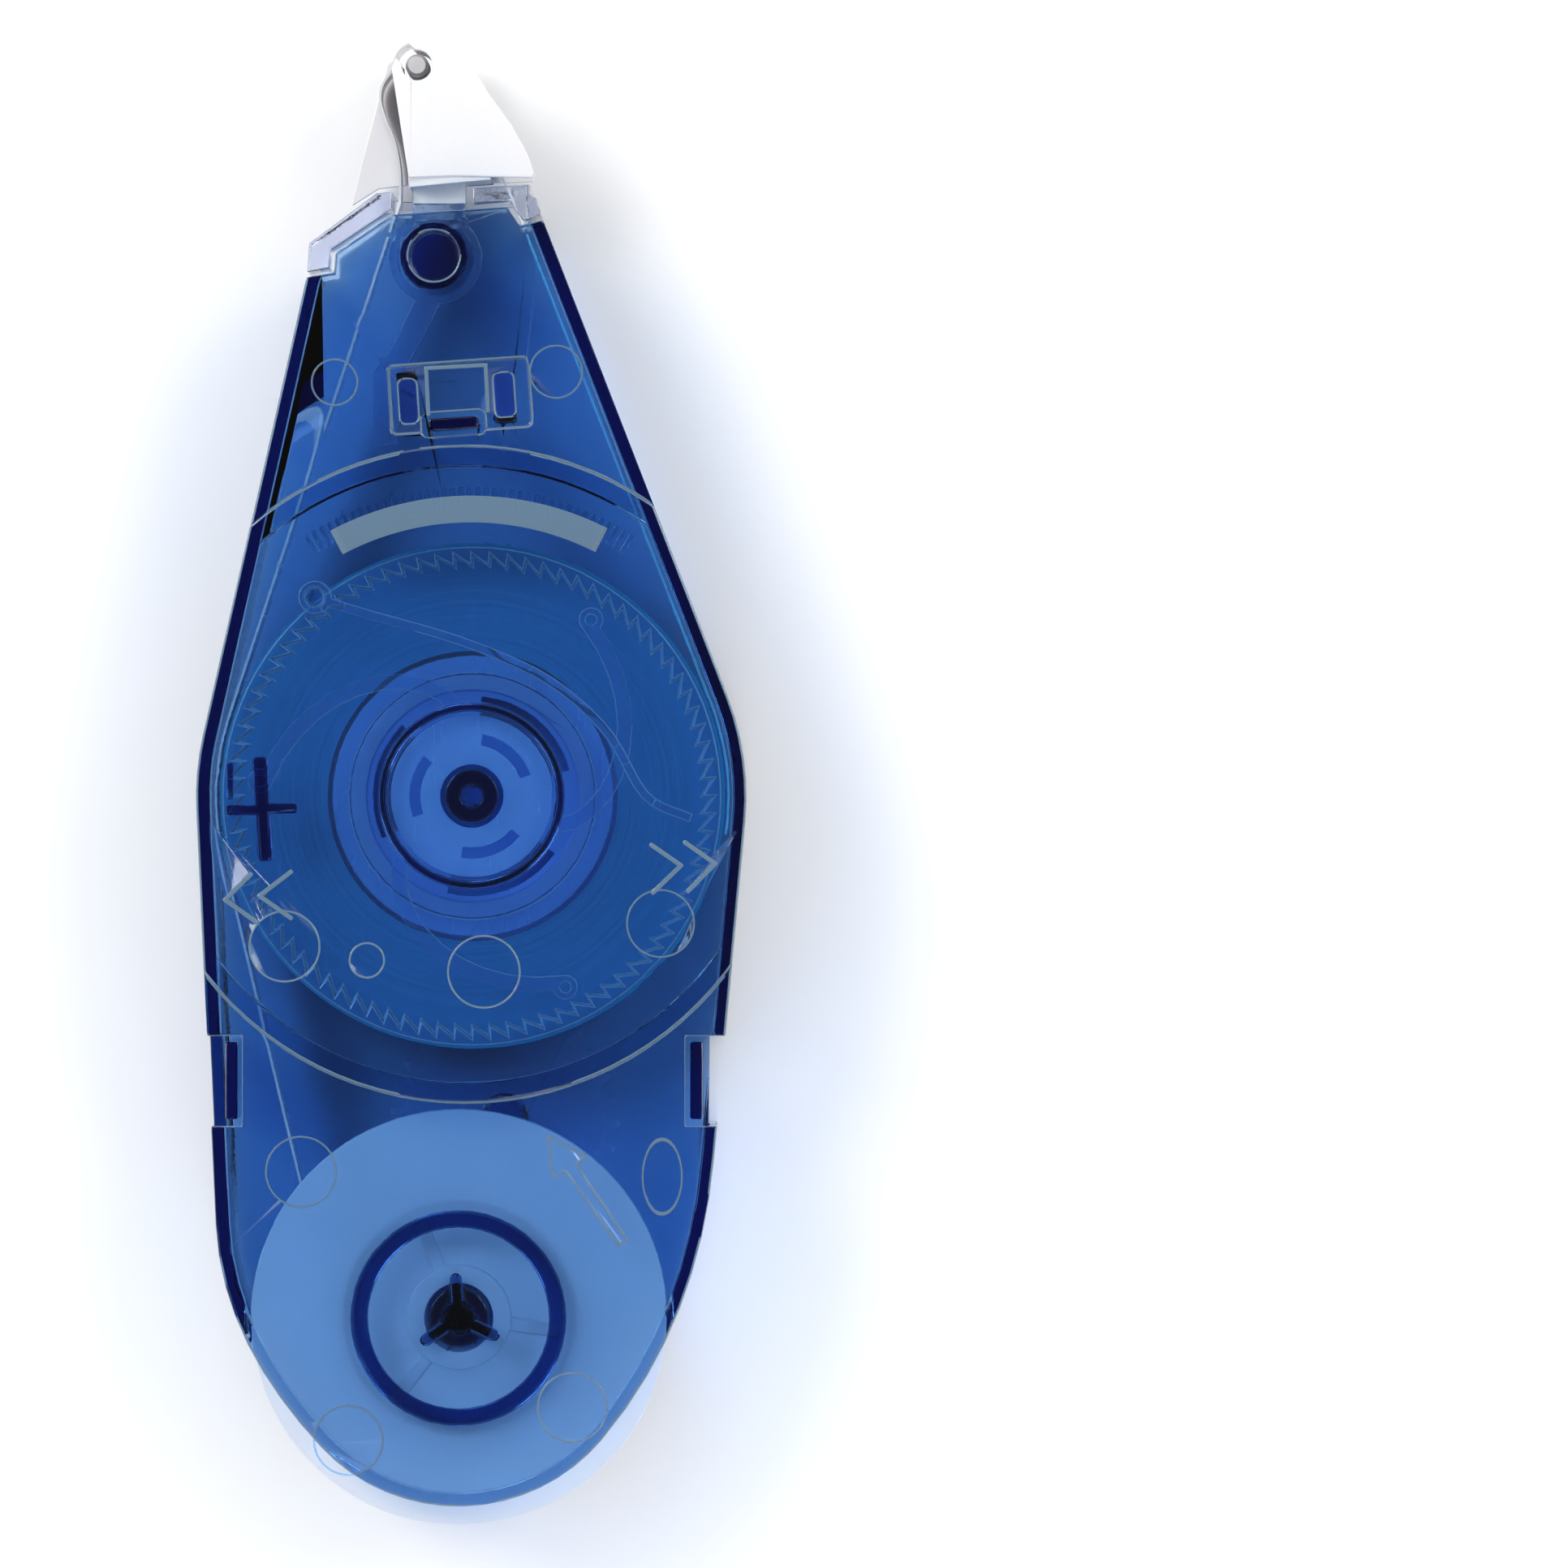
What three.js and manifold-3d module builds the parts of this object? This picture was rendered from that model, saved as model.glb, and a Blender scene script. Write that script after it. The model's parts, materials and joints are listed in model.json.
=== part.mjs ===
// Correction tape cartridge, lying on its back: +Z up through the front cover, +Y towards the tip.
// Millimetres. The origin lies under the middle of the whole cartridge, on the surface it rests on.
// Every piece is drawn about the supply reel's axle, and the finished assembly is then centred.
import * as THREE from 'three';
import { mergeVertices } from 'three/addons/utils/BufferGeometryUtils.js';
import Module from 'manifold-3d';

const wasm = await Module();
wasm.setup();

// ---- Driving dimensions: thicknesses and clearances ----
const PLATE = 1.2; // face of each cover
const WALL = 0.8; // side wall of the case
const RUN_GAP = 0.3; // between stacked or turning pieces
const PRESS_GAP = 0.05; // between pieces that are pressed together
const FILM_GAP = 0.12; // between the tape and what it runs on
const TAPE_WIDTH = 5;
const STRAND = 0.15; // thickness of a single run of tape
const GEAR_WIDTH = 1.5;
const FLANGE = 0.7;
const SPIDER_WIDTH = 0.8;
const PAWL_REACH = 0.6;
const ARM_DEPTH = 0.5;
const ARM_WIDTH = 0.6;
const WHEEL_WIDTH = 1.8;
const STEP_HEIGHT = 0.8; // how far the round part of the front cover stands up
const RIB = 0.5;

// ---- Driving dimensions: supply reel and clutch ----
const ROLL_RADIUS = 16.2;
const CORE_RADIUS = 9;
const CORE_WALL = 1.15;
const ROLL_SPACE = 0.55; // between the full roll and the case wall
const SUPPLY_POST = 1.72;
const SLEEVE_WALL = 0.95;
const HUB_WALL = 1;
const RATCHET_TEETH = 84;
const RATCHET_DEPTH = 0.8;
const RATCHET_RIM = 0.45;
const RATCHET_MARGIN = 0.25; // the ratchet flange is this much smaller than the roll
const CAP_RADIUS = 5.2;
const PAWL_RING = 0.8;

// ---- Driving dimensions: take-up spool and gears ----
const WHEEL_RADIUS = 13.3;
const WHEEL_SHOW = 1.3; // how far the thumb wheel stands out of the tail
const REEL_GAP = 4.1; // between the ratchet flange and the thumb wheel
const TAKEUP_SHIFT = -0.85; // take-up axle, sideways from the supply axle
const DRUM_RADIUS = 7.45;
const DRUM_WALL = 0.85;
const USED_FILM = 0.3; // depth of the used film wound on the drum
const TAKEUP_POST = 1.9;
const TAKEUP_HUB_WALL = 1.14;
const SPOKE = 0.8;
const DRIVE_TEETH = 56;
const IDLER_TEETH = 28;
const TAKEUP_TEETH = 24;
const IDLER_LEAN = 6.8; // degrees that the idler stands off the line of the axles
const IDLER_POST = 1.1;
const ADDENDUM = 0.9; // gear teeth, in modules
const DEDENDUM = 1.15;
const BACKLASH = 0.14; // share of the tooth left out
const PRESSURE_ANGLE = 20;

// ---- Driving dimensions: case ----
const NECK_LEFT = 167.3; // degrees: direction that each straight side faces
const NECK_RIGHT = 21.2;
const FLANK_LEFT = 182.6;
const FLANK_RIGHT = 354.7;
const TAIL_START = 223; // degrees: ends of the tail's arc
const TAIL_END = 320;
const BLEND_LEFT = 6; // height above the take-up axle where each side starts to curve in
const BLEND_RIGHT = 10.2;
const BLEND_PULL = 0.35;
const NECK_TOP = 37.1;
const STEP_SPREAD = 3.35; // the raised round is this much larger than the case's round
const STEP_LIFT = 1.4;
const STEP_WALL = 1.2;
const BOSS_X = -2.4; // pivot boss in the neck
const BOSS_DROP = 2.6; // below the neck's top edge
const BOSS_RADIUS = 2.1;
const RECESS_RADIUS = 1.62;
const RECESS_DEPTH = 3;

// ---- Driving dimensions: head ----
const TIP_X = -3.57;
const TIP_REACH = 46.81;
const ROLLER_RADIUS = 1.3;
const JOURNAL_RADIUS = 0.91;
const HEAD_PLATE = 0.8;
const SNAP_CLEARANCE = 0.06;
const EYE_WALL = 0.55;
const EYE_CLEARANCE = 0.3;
const STEM_DEPTH = 3;
const TAIL_STRIP = 1.5;

// ---- Heights that follow from the stack of layers ----
const gearLow = PLATE + RUN_GAP;
const gearHigh = gearLow + GEAR_WIDTH;
const tapeLow = gearHigh + RUN_GAP;
const tapeHigh = tapeLow + TAPE_WIDTH;
const flangeLow = tapeHigh + RUN_GAP;
const flangeHigh = flangeLow + FLANGE;
const spiderLow = flangeHigh + RUN_GAP;
const spiderHigh = spiderLow + SPIDER_WIDTH;
const pawlLow = spiderHigh + RUN_GAP;
const ratchetHigh = pawlLow + PAWL_REACH;
const armLow = ratchetHigh + RUN_GAP;
const armHigh = armLow + ARM_DEPTH;
const raisedCeiling = armHigh + RUN_GAP;
const raisedTop = raisedCeiling + PLATE;
const lowTop = raisedTop - STEP_HEIGHT;
const lowCeiling = lowTop - PLATE;
const wheelHigh = flangeLow + WHEEL_WIDTH;

// ---- Radii and places that follow from the driving dimensions ----
const caseInner = ROLL_RADIUS + ROLL_SPACE;
const caseRadius = caseInner + WALL;
const ratchetRadius = ROLL_RADIUS - RATCHET_MARGIN;
const ratchetRoot = ratchetRadius - RATCHET_RIM;
const ratchetTip = ratchetRoot - RATCHET_DEPTH;
const sleeveInner = SUPPLY_POST + RUN_GAP;
const sleeveOuter = sleeveInner + SLEEVE_WALL;
const hubInner = sleeveOuter + RUN_GAP;
const hubRadius = CORE_RADIUS - CORE_WALL - PRESS_GAP;
const tailRadius = WHEEL_RADIUS - WHEEL_SHOW;
const axleSpacing = ratchetRadius + REEL_GAP + WHEEL_RADIUS;
const takeup = new THREE.Vector2(TAKEUP_SHIFT, -Math.sqrt(axleSpacing ** 2 - TAKEUP_SHIFT ** 2));
const takeupHubInner = TAKEUP_POST + RUN_GAP;
const takeupHub = takeupHubInner + TAKEUP_HUB_WALL;
const tip = new THREE.Vector2(TIP_X, TIP_REACH);
const boss = new THREE.Vector2(BOSS_X, NECK_TOP - BOSS_DROP);
const stepCentre = new THREE.Vector2(-0.4, STEP_LIFT);
const stepRadius = caseRadius + STEP_SPREAD;
const filmRadius = DRUM_RADIUS + USED_FILM;
const FULL_TURN = Math.PI * 2;

// The gear train spans the two axles: its module comes from the spacing and the tooth counts.
const lean = THREE.MathUtils.degToRad(IDLER_LEAN);
const driveToIdler = (DRIVE_TEETH + IDLER_TEETH) / 2;
const idlerToTakeup = (IDLER_TEETH + TAKEUP_TEETH) / 2;
const crosswise = driveToIdler * Math.sin(lean);
const lengthwise = driveToIdler * Math.cos(lean) + Math.sqrt(idlerToTakeup ** 2 - crosswise ** 2);
const gearModule = axleSpacing / lengthwise;
const idlerAngle = takeup.angle() + lean;
const idler = new THREE.Vector2(
  driveToIdler * gearModule * Math.cos(idlerAngle),
  driveToIdler * gearModule * Math.sin(idlerAngle),
);

// ---- Shaping helpers ----
function polar(centre, radius, angle) {
  return [centre.x + radius * Math.cos(angle), centre.y + radius * Math.sin(angle)];
}

function arc(centre, radius, fromDegrees, toDegrees, steps) {
  const points = [];
  for (let i = 0; i <= steps; i += 1) {
    const angle = THREE.MathUtils.degToRad(fromDegrees + ((toDegrees - fromDegrees) * i) / steps);
    points.push(polar(centre, radius, angle));
  }
  return points;
}

function circle(centre, radius, steps) {
  return arc(centre, radius, 0, 360, steps).slice(0, steps);
}

function toSolid(geometry) {
  const bare = geometry.clone();
  bare.deleteAttribute('normal');
  bare.deleteAttribute('uv');
  const merged = mergeVertices(bare, 1e-4);
  return new wasm.Manifold(new wasm.Mesh({
    numProp: 3,
    vertProperties: new Float32Array(merged.attributes.position.array),
    triVerts: new Uint32Array(merged.index.array),
  }));
}

function prism(points, low, high, holes = []) {
  const shape = new THREE.Shape(points.map(([x, y]) => new THREE.Vector2(x, y)));
  holes.forEach((hole) => {
    shape.holes.push(new THREE.Path(hole.map(([x, y]) => new THREE.Vector2(x, y))));
  });
  const geometry = new THREE.ExtrudeGeometry(shape, { depth: high - low, bevelEnabled: false });
  geometry.translate(0, 0, low);
  return toSolid(geometry);
}

function disc(centre, radius, low, high, steps = 32) {
  return prism(circle(centre, radius, steps), low, high);
}

function ring(centre, inner, outer, low, high, steps = 48) {
  return prism(circle(centre, outer, steps), low, high, [circle(centre, inner, steps)]);
}

function block(x0, x1, y0, y1, low, high) {
  return prism([[x0, y0], [x1, y0], [x1, y1], [x0, y1]], low, high);
}

function turned(points, degrees, centre) {
  const angle = THREE.MathUtils.degToRad(degrees);
  return points.map(([x, y]) => {
    const moved = new THREE.Vector2(x, y).rotateAround(centre, angle);
    return [moved.x, moved.y];
  });
}

function curve(points, steps) {
  const route = new THREE.CatmullRomCurve3(points.map(([x, y]) => new THREE.Vector3(x, y, 0)));
  return route.getPoints(steps).map((point) => [point.x, point.y]);
}

// A strip of even thickness that stands on edge along a route.
function strip(route, thickness, low, high) {
  const left = [];
  const right = [];
  route.forEach(([x, y], i) => {
    const before = route[Math.max(i - 1, 0)];
    const after = route[Math.min(i + 1, route.length - 1)];
    const along = new THREE.Vector2(after[0] - before[0], after[1] - before[1]).normalize();
    left.push([x - (along.y * thickness) / 2, y + (along.x * thickness) / 2]);
    right.push([x + (along.y * thickness) / 2, y - (along.x * thickness) / 2]);
  });
  return prism([...right, ...left.reverse()], low, high);
}

function rounded(x0, x1, y0, y1, fillet) {
  const steps = 4;
  const radius = Math.min(fillet, 0.4 * (x1 - x0), 0.4 * (y1 - y0));
  return [
    ...arc(new THREE.Vector2(x1 - radius, y0 + radius), radius, 270, 360, steps),
    ...arc(new THREE.Vector2(x1 - radius, y1 - radius), radius, 0, 90, steps),
    ...arc(new THREE.Vector2(x0 + radius, y1 - radius), radius, 90, 180, steps),
    ...arc(new THREE.Vector2(x0 + radius, y0 + radius), radius, 180, 270, steps),
  ];
}

// ---- The case's outline, drawn any distance inside its outer face ----
const axle = new THREE.Vector2(0, 0);

function sideX(facing, y, inset) {
  const angle = THREE.MathUtils.degToRad(facing);
  return (caseRadius - inset - y * Math.sin(angle)) / Math.cos(angle);
}

function blend(from, fromAlong, to, toAlong) {
  const pull = from.distanceTo(to) * BLEND_PULL;
  const bend = new THREE.CubicBezierCurve(
    from,
    from.clone().addScaledVector(fromAlong, pull),
    to.clone().addScaledVector(toAlong, -pull),
    to,
  );
  return bend.getPoints(8).map((point) => [point.x, point.y]);
}

function directionOf(degrees) {
  const angle = THREE.MathUtils.degToRad(degrees);
  return new THREE.Vector2(Math.cos(angle), Math.sin(angle));
}

function caseOutline(inset, top) {
  const tail = tailRadius - inset;
  const leftY = takeup.y + BLEND_LEFT;
  const rightY = takeup.y + BLEND_RIGHT;
  const leftFrom = new THREE.Vector2(sideX(FLANK_LEFT, leftY, inset), leftY);
  const leftTo = new THREE.Vector2(...polar(takeup, tail, THREE.MathUtils.degToRad(TAIL_START)));
  const rightFrom = new THREE.Vector2(...polar(takeup, tail, THREE.MathUtils.degToRad(TAIL_END)));
  const rightTo = new THREE.Vector2(sideX(FLANK_RIGHT, rightY, inset), rightY);
  return [
    [sideX(NECK_LEFT, top, inset), top],
    ...arc(axle, caseRadius - inset, NECK_LEFT, FLANK_LEFT, 4),
    ...blend(leftFrom, directionOf(FLANK_LEFT + 90), leftTo, directionOf(TAIL_START + 90)),
    ...arc(takeup, tail, TAIL_START, TAIL_END, 16).slice(1),
    ...blend(rightFrom, directionOf(TAIL_END + 90), rightTo, directionOf(FLANK_RIGHT + 90)).slice(1),
    ...arc(axle, caseRadius - inset, FLANK_RIGHT - 360, NECK_RIGHT, 6),
    [sideX(NECK_RIGHT, top, inset), top],
  ];
}

// The stepped top edge of both covers, left to right.
const SHOULDER_DROP = 4;
const leftShoulder = new THREE.Vector2(
  sideX(NECK_LEFT, NECK_TOP - SHOULDER_DROP, 0),
  NECK_TOP - SHOULDER_DROP,
);
const rightShoulder = new THREE.Vector2(sideX(NECK_RIGHT, NECK_TOP - 0.35, 0), NECK_TOP - 0.35);
const topEdge = [
  [leftShoulder.x, leftShoulder.y],
  [leftShoulder.x + 1.75, leftShoulder.y + 0.3],
  [leftShoulder.x + 1.85, leftShoulder.y + 1.55],
  [-5.05, NECK_TOP],
  [2.27, NECK_TOP + 0.5],
  [3.09, NECK_TOP - 0.7],
  [rightShoulder.x, rightShoulder.y],
];
const MOUTH_ABOVE = 6;

function caseBody(inset, low, high) {
  return prism(caseOutline(inset, NECK_TOP + MOUTH_ABOVE), low, high);
}

function aboveTopEdge(low, high) {
  const above = NECK_TOP + MOUTH_ABOVE + 2;
  const past = 4;
  return prism([
    [leftShoulder.x - past, leftShoulder.y - 0.7],
    ...topEdge,
    [rightShoulder.x + past, rightShoulder.y + 1.2],
    [rightShoulder.x + past, above],
    [leftShoulder.x - past, above],
  ], low, high);
}

// ---- Gears ----
function gearOutline(teeth, phase) {
  const pitch = (gearModule * teeth) / 2;
  const pressure = THREE.MathUtils.degToRad(PRESSURE_ANGLE);
  const base = pitch * Math.cos(pressure);
  const involute = (angle) => Math.tan(angle) - angle;
  const half = (Math.PI / 2 / teeth) * (1 - BACKLASH);
  const radii = [pitch - DEDENDUM * gearModule, pitch, pitch + ADDENDUM * gearModule];
  const halves = radii.map((radius) => {
    const angle = Math.acos(Math.min(base / radius, 1));
    return half + involute(pressure) - involute(angle);
  });
  const points = [];
  for (let tooth = 0; tooth < teeth; tooth += 1) {
    const middle = phase + (FULL_TURN * tooth) / teeth;
    radii.forEach((radius, i) => points.push(polar(axle, radius, middle - halves[i])));
    [2, 1, 0].forEach((i) => points.push(polar(axle, radii[i], middle + halves[i])));
  }
  return points;
}

// The phase that puts a gear in mesh with the one before it, seen along the line between them.
function meshedPhase(teeth, teethBefore, phaseBefore, angle) {
  const pitchBefore = FULL_TURN / teethBefore;
  const share = (angle - phaseBefore) / pitchBefore;
  return angle + Math.PI - (FULL_TURN / teeth) * (0.5 - share);
}

const drivePhase = 0;
const idlerPhase = meshedPhase(IDLER_TEETH, DRIVE_TEETH, drivePhase, idlerAngle);
const idlerToTakeupAngle = takeup.clone().sub(idler).angle();
const takeupPhase = meshedPhase(TAKEUP_TEETH, IDLER_TEETH, idlerPhase, idlerToTakeupAngle);

function driveGear() {
  return prism(gearOutline(DRIVE_TEETH, drivePhase), gearLow, gearHigh)
    .add(disc(axle, sleeveOuter, gearLow, spiderHigh))
    .subtract(disc(axle, sleeveInner, 0, raisedTop));
}

function idlerGear() {
  return prism(gearOutline(IDLER_TEETH, idlerPhase), gearLow, gearHigh, [
    circle(axle, IDLER_POST + RUN_GAP, 24),
  ]);
}

function takeupGear() {
  return prism(gearOutline(TAKEUP_TEETH, takeupPhase), gearLow, gearHigh, [
    circle(axle, takeupHub + PRESS_GAP, 32),
  ]);
}

// ---- Clutch ----
const SINK = 0.1; // how far stacked layers of one piece run into each other
const FINE_STEPS = 84; // facets of the largest rounds
const PAWL_ANGLE = 56;
const PAWL_SWEEP = 78;
const PAWL_WIDTH = 1;
const PAWL_EYE = 0.35;
const PAWL_STEPS = 10;
const SPIDER_MARGIN = 0.6; // the spider's hub is this much larger than the cap
const CAP_SLOT_ANGLE = 20;
const CAP_SLOT_LENGTH = 60;
const CAP_SLOT_OUTER = 1.2; // distances in from the cap's edge
const CAP_SLOT_INNER = 1.9;

function ratchetFlange() {
  const inner = [];
  for (let tooth = 0; tooth < RATCHET_TEETH; tooth += 1) {
    const angle = (FULL_TURN * tooth) / RATCHET_TEETH;
    inner.push(polar(axle, ratchetRoot, angle));
    inner.push(polar(axle, ratchetTip, angle));
  }
  return prism(circle(axle, ratchetRadius, FINE_STEPS), flangeHigh - SINK, ratchetHigh, [inner])
    .add(ring(axle, hubRadius + PRESS_GAP, ratchetRadius, flangeLow, flangeHigh, FINE_STEPS));
}

function clutchSpider() {
  const hub = CAP_RADIUS + SPIDER_MARGIN;
  const ringCentre = ratchetTip - RUN_GAP - PAWL_RING;
  let spider = disc(axle, hub, spiderLow, spiderHigh, 48);
  for (let arm = 0; arm < 3; arm += 1) {
    const start = PAWL_ANGLE + arm * 120;
    const spiral = [];
    for (let i = 0; i <= PAWL_STEPS; i += 1) {
      const along = i / PAWL_STEPS;
      const angle = THREE.MathUtils.degToRad(start - PAWL_SWEEP * (1 - along));
      spiral.push(polar(axle, hub - 0.5 + (ringCentre - hub + 0.2) * along ** 0.75, angle));
    }
    const end = directionOf(start).multiplyScalar(ringCentre);
    spider = spider
      .add(strip(spiral, PAWL_WIDTH, spiderLow, spiderHigh))
      .add(disc(end, PAWL_RING, spiderLow, spiderHigh, 20));
    spider = spider.subtract(disc(end, PAWL_EYE, 0, raisedTop, 12));
  }
  return spider.subtract(disc(axle, sleeveOuter + PRESS_GAP, 0, raisedTop));
}

function clutchCap() {
  const low = spiderHigh + SINK;
  let cap = ring(axle, sleeveInner, CAP_RADIUS, low, ratchetHigh, 40);
  for (let slot = 0; slot < 3; slot += 1) {
    const from = CAP_SLOT_ANGLE + slot * 120;
    const to = from + CAP_SLOT_LENGTH;
    const outline = [
      ...arc(axle, CAP_RADIUS - CAP_SLOT_OUTER, from, to, 6),
      ...arc(axle, CAP_RADIUS - CAP_SLOT_INNER, to, from, 6),
    ];
    cap = cap.subtract(prism(outline, 0, raisedTop));
  }
  return cap;
}

// ---- Supply reel ----
const WINDOW_ANGLE = 15;
const WINDOW_LENGTH = 70;
const WINDOW_FRAME = 0.4;

function reelHub() {
  const web = tapeHigh - PLATE;
  let hub = ring(axle, hubInner, hubRadius, tapeLow, tapeHigh)
    .add(ring(axle, hubRadius - HUB_WALL, hubRadius, tapeHigh - SINK, flangeHigh))
    .subtract(ring(axle, hubInner + HUB_WALL, hubRadius - HUB_WALL, 0, web));
  for (let window = 0; window < 3; window += 1) {
    const from = WINDOW_ANGLE + window * 120;
    const to = from + WINDOW_LENGTH;
    const outline = [
      ...arc(axle, hubRadius - HUB_WALL - WINDOW_FRAME, from, to, 8),
      ...arc(axle, hubInner + HUB_WALL + WINDOW_FRAME, to, from, 6),
    ];
    hub = hub.subtract(prism(outline, 0, raisedTop));
  }
  return hub;
}

function coreRing() {
  return ring(axle, CORE_RADIUS - CORE_WALL, CORE_RADIUS, tapeLow, tapeHigh, 56);
}

function tapeRoll() {
  return ring(axle, CORE_RADIUS + PRESS_GAP, ROLL_RADIUS, tapeLow, tapeHigh, FINE_STEPS);
}

// ---- Take-up spool ----
const WEB = 0.6; // disc that closes the drum between its spokes
const WEB_SINK = 0.3;
const SPOKE_ANGLE = -8;

function takeupSpool() {
  const openDrum = DRUM_RADIUS - DRUM_WALL;
  const webHigh = wheelHigh - RIB - WEB_SINK;
  let spool = ring(axle, openDrum, DRUM_RADIUS, tapeLow, wheelHigh, 56)
    .add(ring(axle, openDrum + 0.2, WHEEL_RADIUS, flangeLow, wheelHigh, FINE_STEPS))
    .add(ring(axle, takeupHub - 0.2, openDrum + 0.2, webHigh - WEB, webHigh, 56))
    .add(ring(axle, takeupHubInner, takeupHub, gearLow, wheelHigh + RUN_GAP, 32));
  for (let spoke = 0; spoke < 3; spoke += 1) {
    const spokeBlock = prism(
      turned([
        [takeupHubInner + 0.4, -SPOKE / 2],
        [DRUM_RADIUS - 0.3, -SPOKE / 2],
        [DRUM_RADIUS - 0.3, SPOKE / 2],
        [takeupHubInner + 0.4, SPOKE / 2],
      ], SPOKE_ANGLE + spoke * 120, axle),
      tapeLow,
      wheelHigh - RIB,
    );
    spool = spool.add(spokeBlock);
  }
  return spool;
}

function usedFilmRoll() {
  return ring(axle, DRUM_RADIUS + PRESS_GAP, filmRadius, tapeLow, tapeHigh, 64);
}

// ---- Backstop arm: a springy pawl on the front cover that drops into the ratchet ----
const armPost = new THREE.Vector2(...polar(
  axle,
  ROLL_RADIUS - 0.06,
  THREE.MathUtils.degToRad(128.2),
));
const ARM_POST = 0.5;
const ARM_EYE_WALL = 0.45;

function backstopArm() {
  const postHole = ARM_POST + FILM_GAP;
  const eye = postHole + ARM_EYE_WALL;
  const reach = ratchetTip - RUN_GAP - ARM_WIDTH / 2;
  const start = armPost.clone().add(directionOf(-20).multiplyScalar(postHole + 0.2));
  const route = curve([
    [start.x, start.y],
    polar(axle, reach * 0.95, THREE.MathUtils.degToRad(119.8)),
    polar(axle, reach * 0.69, THREE.MathUtils.degToRad(91.3)),
    polar(axle, reach * 0.63, THREE.MathUtils.degToRad(55)),
    polar(axle, reach * 0.68, THREE.MathUtils.degToRad(24.8)),
    polar(axle, reach * 0.8, THREE.MathUtils.degToRad(-0.7)),
    polar(axle, reach, THREE.MathUtils.degToRad(-5.8)),
  ], 28);
  return strip(route, ARM_WIDTH, armLow, armHigh)
    .add(strip(route.slice(-5), ARM_WIDTH, pawlLow, armHigh))
    .add(disc(armPost, eye, armLow, armHigh, 24))
    .subtract(disc(armPost, postHole, 0, raisedTop, 24));
}

// ---- Covers ----
const NOTCH_TOP = -15.3; // side notches, below the supply axle
const NOTCH_LENGTH = 5.75;
const NOTCH_DEPTH = 2.1;
const TAB = 0.8;
const notchMiddle = NOTCH_TOP - NOTCH_LENGTH / 2;
const notchLeft = sideX(FLANK_LEFT, notchMiddle, 0) + NOTCH_DEPTH;
const notchRight = sideX(FLANK_RIGHT, notchMiddle, 0) - NOTCH_DEPTH - 0.2;
const LATCH_RECESS = 0.35;
const SIDE_STEP = 0.8; // the right flank steps in at its notch
const TAB_MARGIN = 0.4;
const ROOT = 0.2; // how far an added wall or post sinks into the plate it stands on
const POST_BORE = 0.7; // the posts are cored from the top
const FOOT_WALL = 0.6;
const HOOK_HEIGHT = 0.9;
const latch = new THREE.Vector2(-0.76, NECK_TOP - 11.6);
const LATCH_TILT = 4;

function latchBlock(x0, x1, y0, y1, low, high) {
  const corners = rounded(latch.x + x0, latch.x + x1, latch.y + y0, latch.y + y1, 0.35);
  return prism(turned(corners, LATCH_TILT, latch), low, high);
}

function backCover() {
  const top = tapeHigh;
  const far = caseRadius * 2;
  const root = PLATE - ROOT;
  const hookHigh = lowTop - ROOT;
  const notch = [NOTCH_TOP - NOTCH_LENGTH, NOTCH_TOP];
  const tab = [notch[0] + TAB_MARGIN, notch[1] - TAB_MARGIN];
  return caseBody(0, 0, top)
    .subtract(caseBody(WALL, PLATE, top + 1))
    .subtract(aboveTopEdge(-1, raisedTop))
    .subtract(block(sideX(FLANK_RIGHT, notchMiddle, SIDE_STEP), far, ...notch, -1, raisedTop))
    .add(ring(axle, POST_BORE, SUPPLY_POST, root, armHigh, 32))
    .add(ring(axle, sleeveInner, sleeveInner + FOOT_WALL, root, gearLow - 0.1, 32))
    .add(ring(takeup, POST_BORE, TAKEUP_POST, root, wheelHigh, 32))
    .add(disc(idler, IDLER_POST, root, gearHigh + ROOT, 24))
    .add(disc(idler, IDLER_POST + RUN_GAP + 0.2, gearHigh + 0.15, gearHigh + 0.6, 24))
    .add(disc(boss, BOSS_RADIUS, root, tapeHigh))
    .add(latchBlock(-2.1, 1.1, -1.9, -1.3, root, hookHigh))
    .add(latchBlock(-2.1, 1.1, -2.1, -1.3, lowTop - HOOK_HEIGHT, hookHigh))
    .add(block(notchLeft - TAB - RUN_GAP, notchLeft - RUN_GAP, ...tab, root, lowCeiling))
    .add(block(notchRight + RUN_GAP, notchRight + RUN_GAP + TAB, ...tab, root, lowCeiling));
}

const STAR_ARM = 2.5;
const RING_INNER = 5.84;
const RING_OUTER = 6.83;
const STAR_HUB = 1.04;
const STAR_WIDTH = 0.68;
const STAR_ANGLES = [94, 214, 334];
const CAP_RIB_CLEARANCE = 0.27;
const CAP_RIB_WALL = 0.43;
const CAP_RIB_DROP = 0.6;

function starBoss() {
  const low = wheelHigh + RUN_GAP * 2;
  const high = lowCeiling + 0.2;
  const half = STAR_WIDTH / 2;
  let star = disc(takeup, STAR_HUB, low, high, 24);
  STAR_ANGLES.forEach((degrees) => {
    const end = takeup.clone().addScaledVector(directionOf(degrees), STAR_ARM);
    const across = directionOf(degrees + 90).multiplyScalar(half);
    star = star
      .add(prism([
        [takeup.x + across.x, takeup.y + across.y],
        [takeup.x - across.x, takeup.y - across.y],
        [end.x - across.x, end.y - across.y],
        [end.x + across.x, end.y + across.y],
      ], low, high))
      .add(disc(end, half, low, high, 12));
  });
  return star;
}

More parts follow.
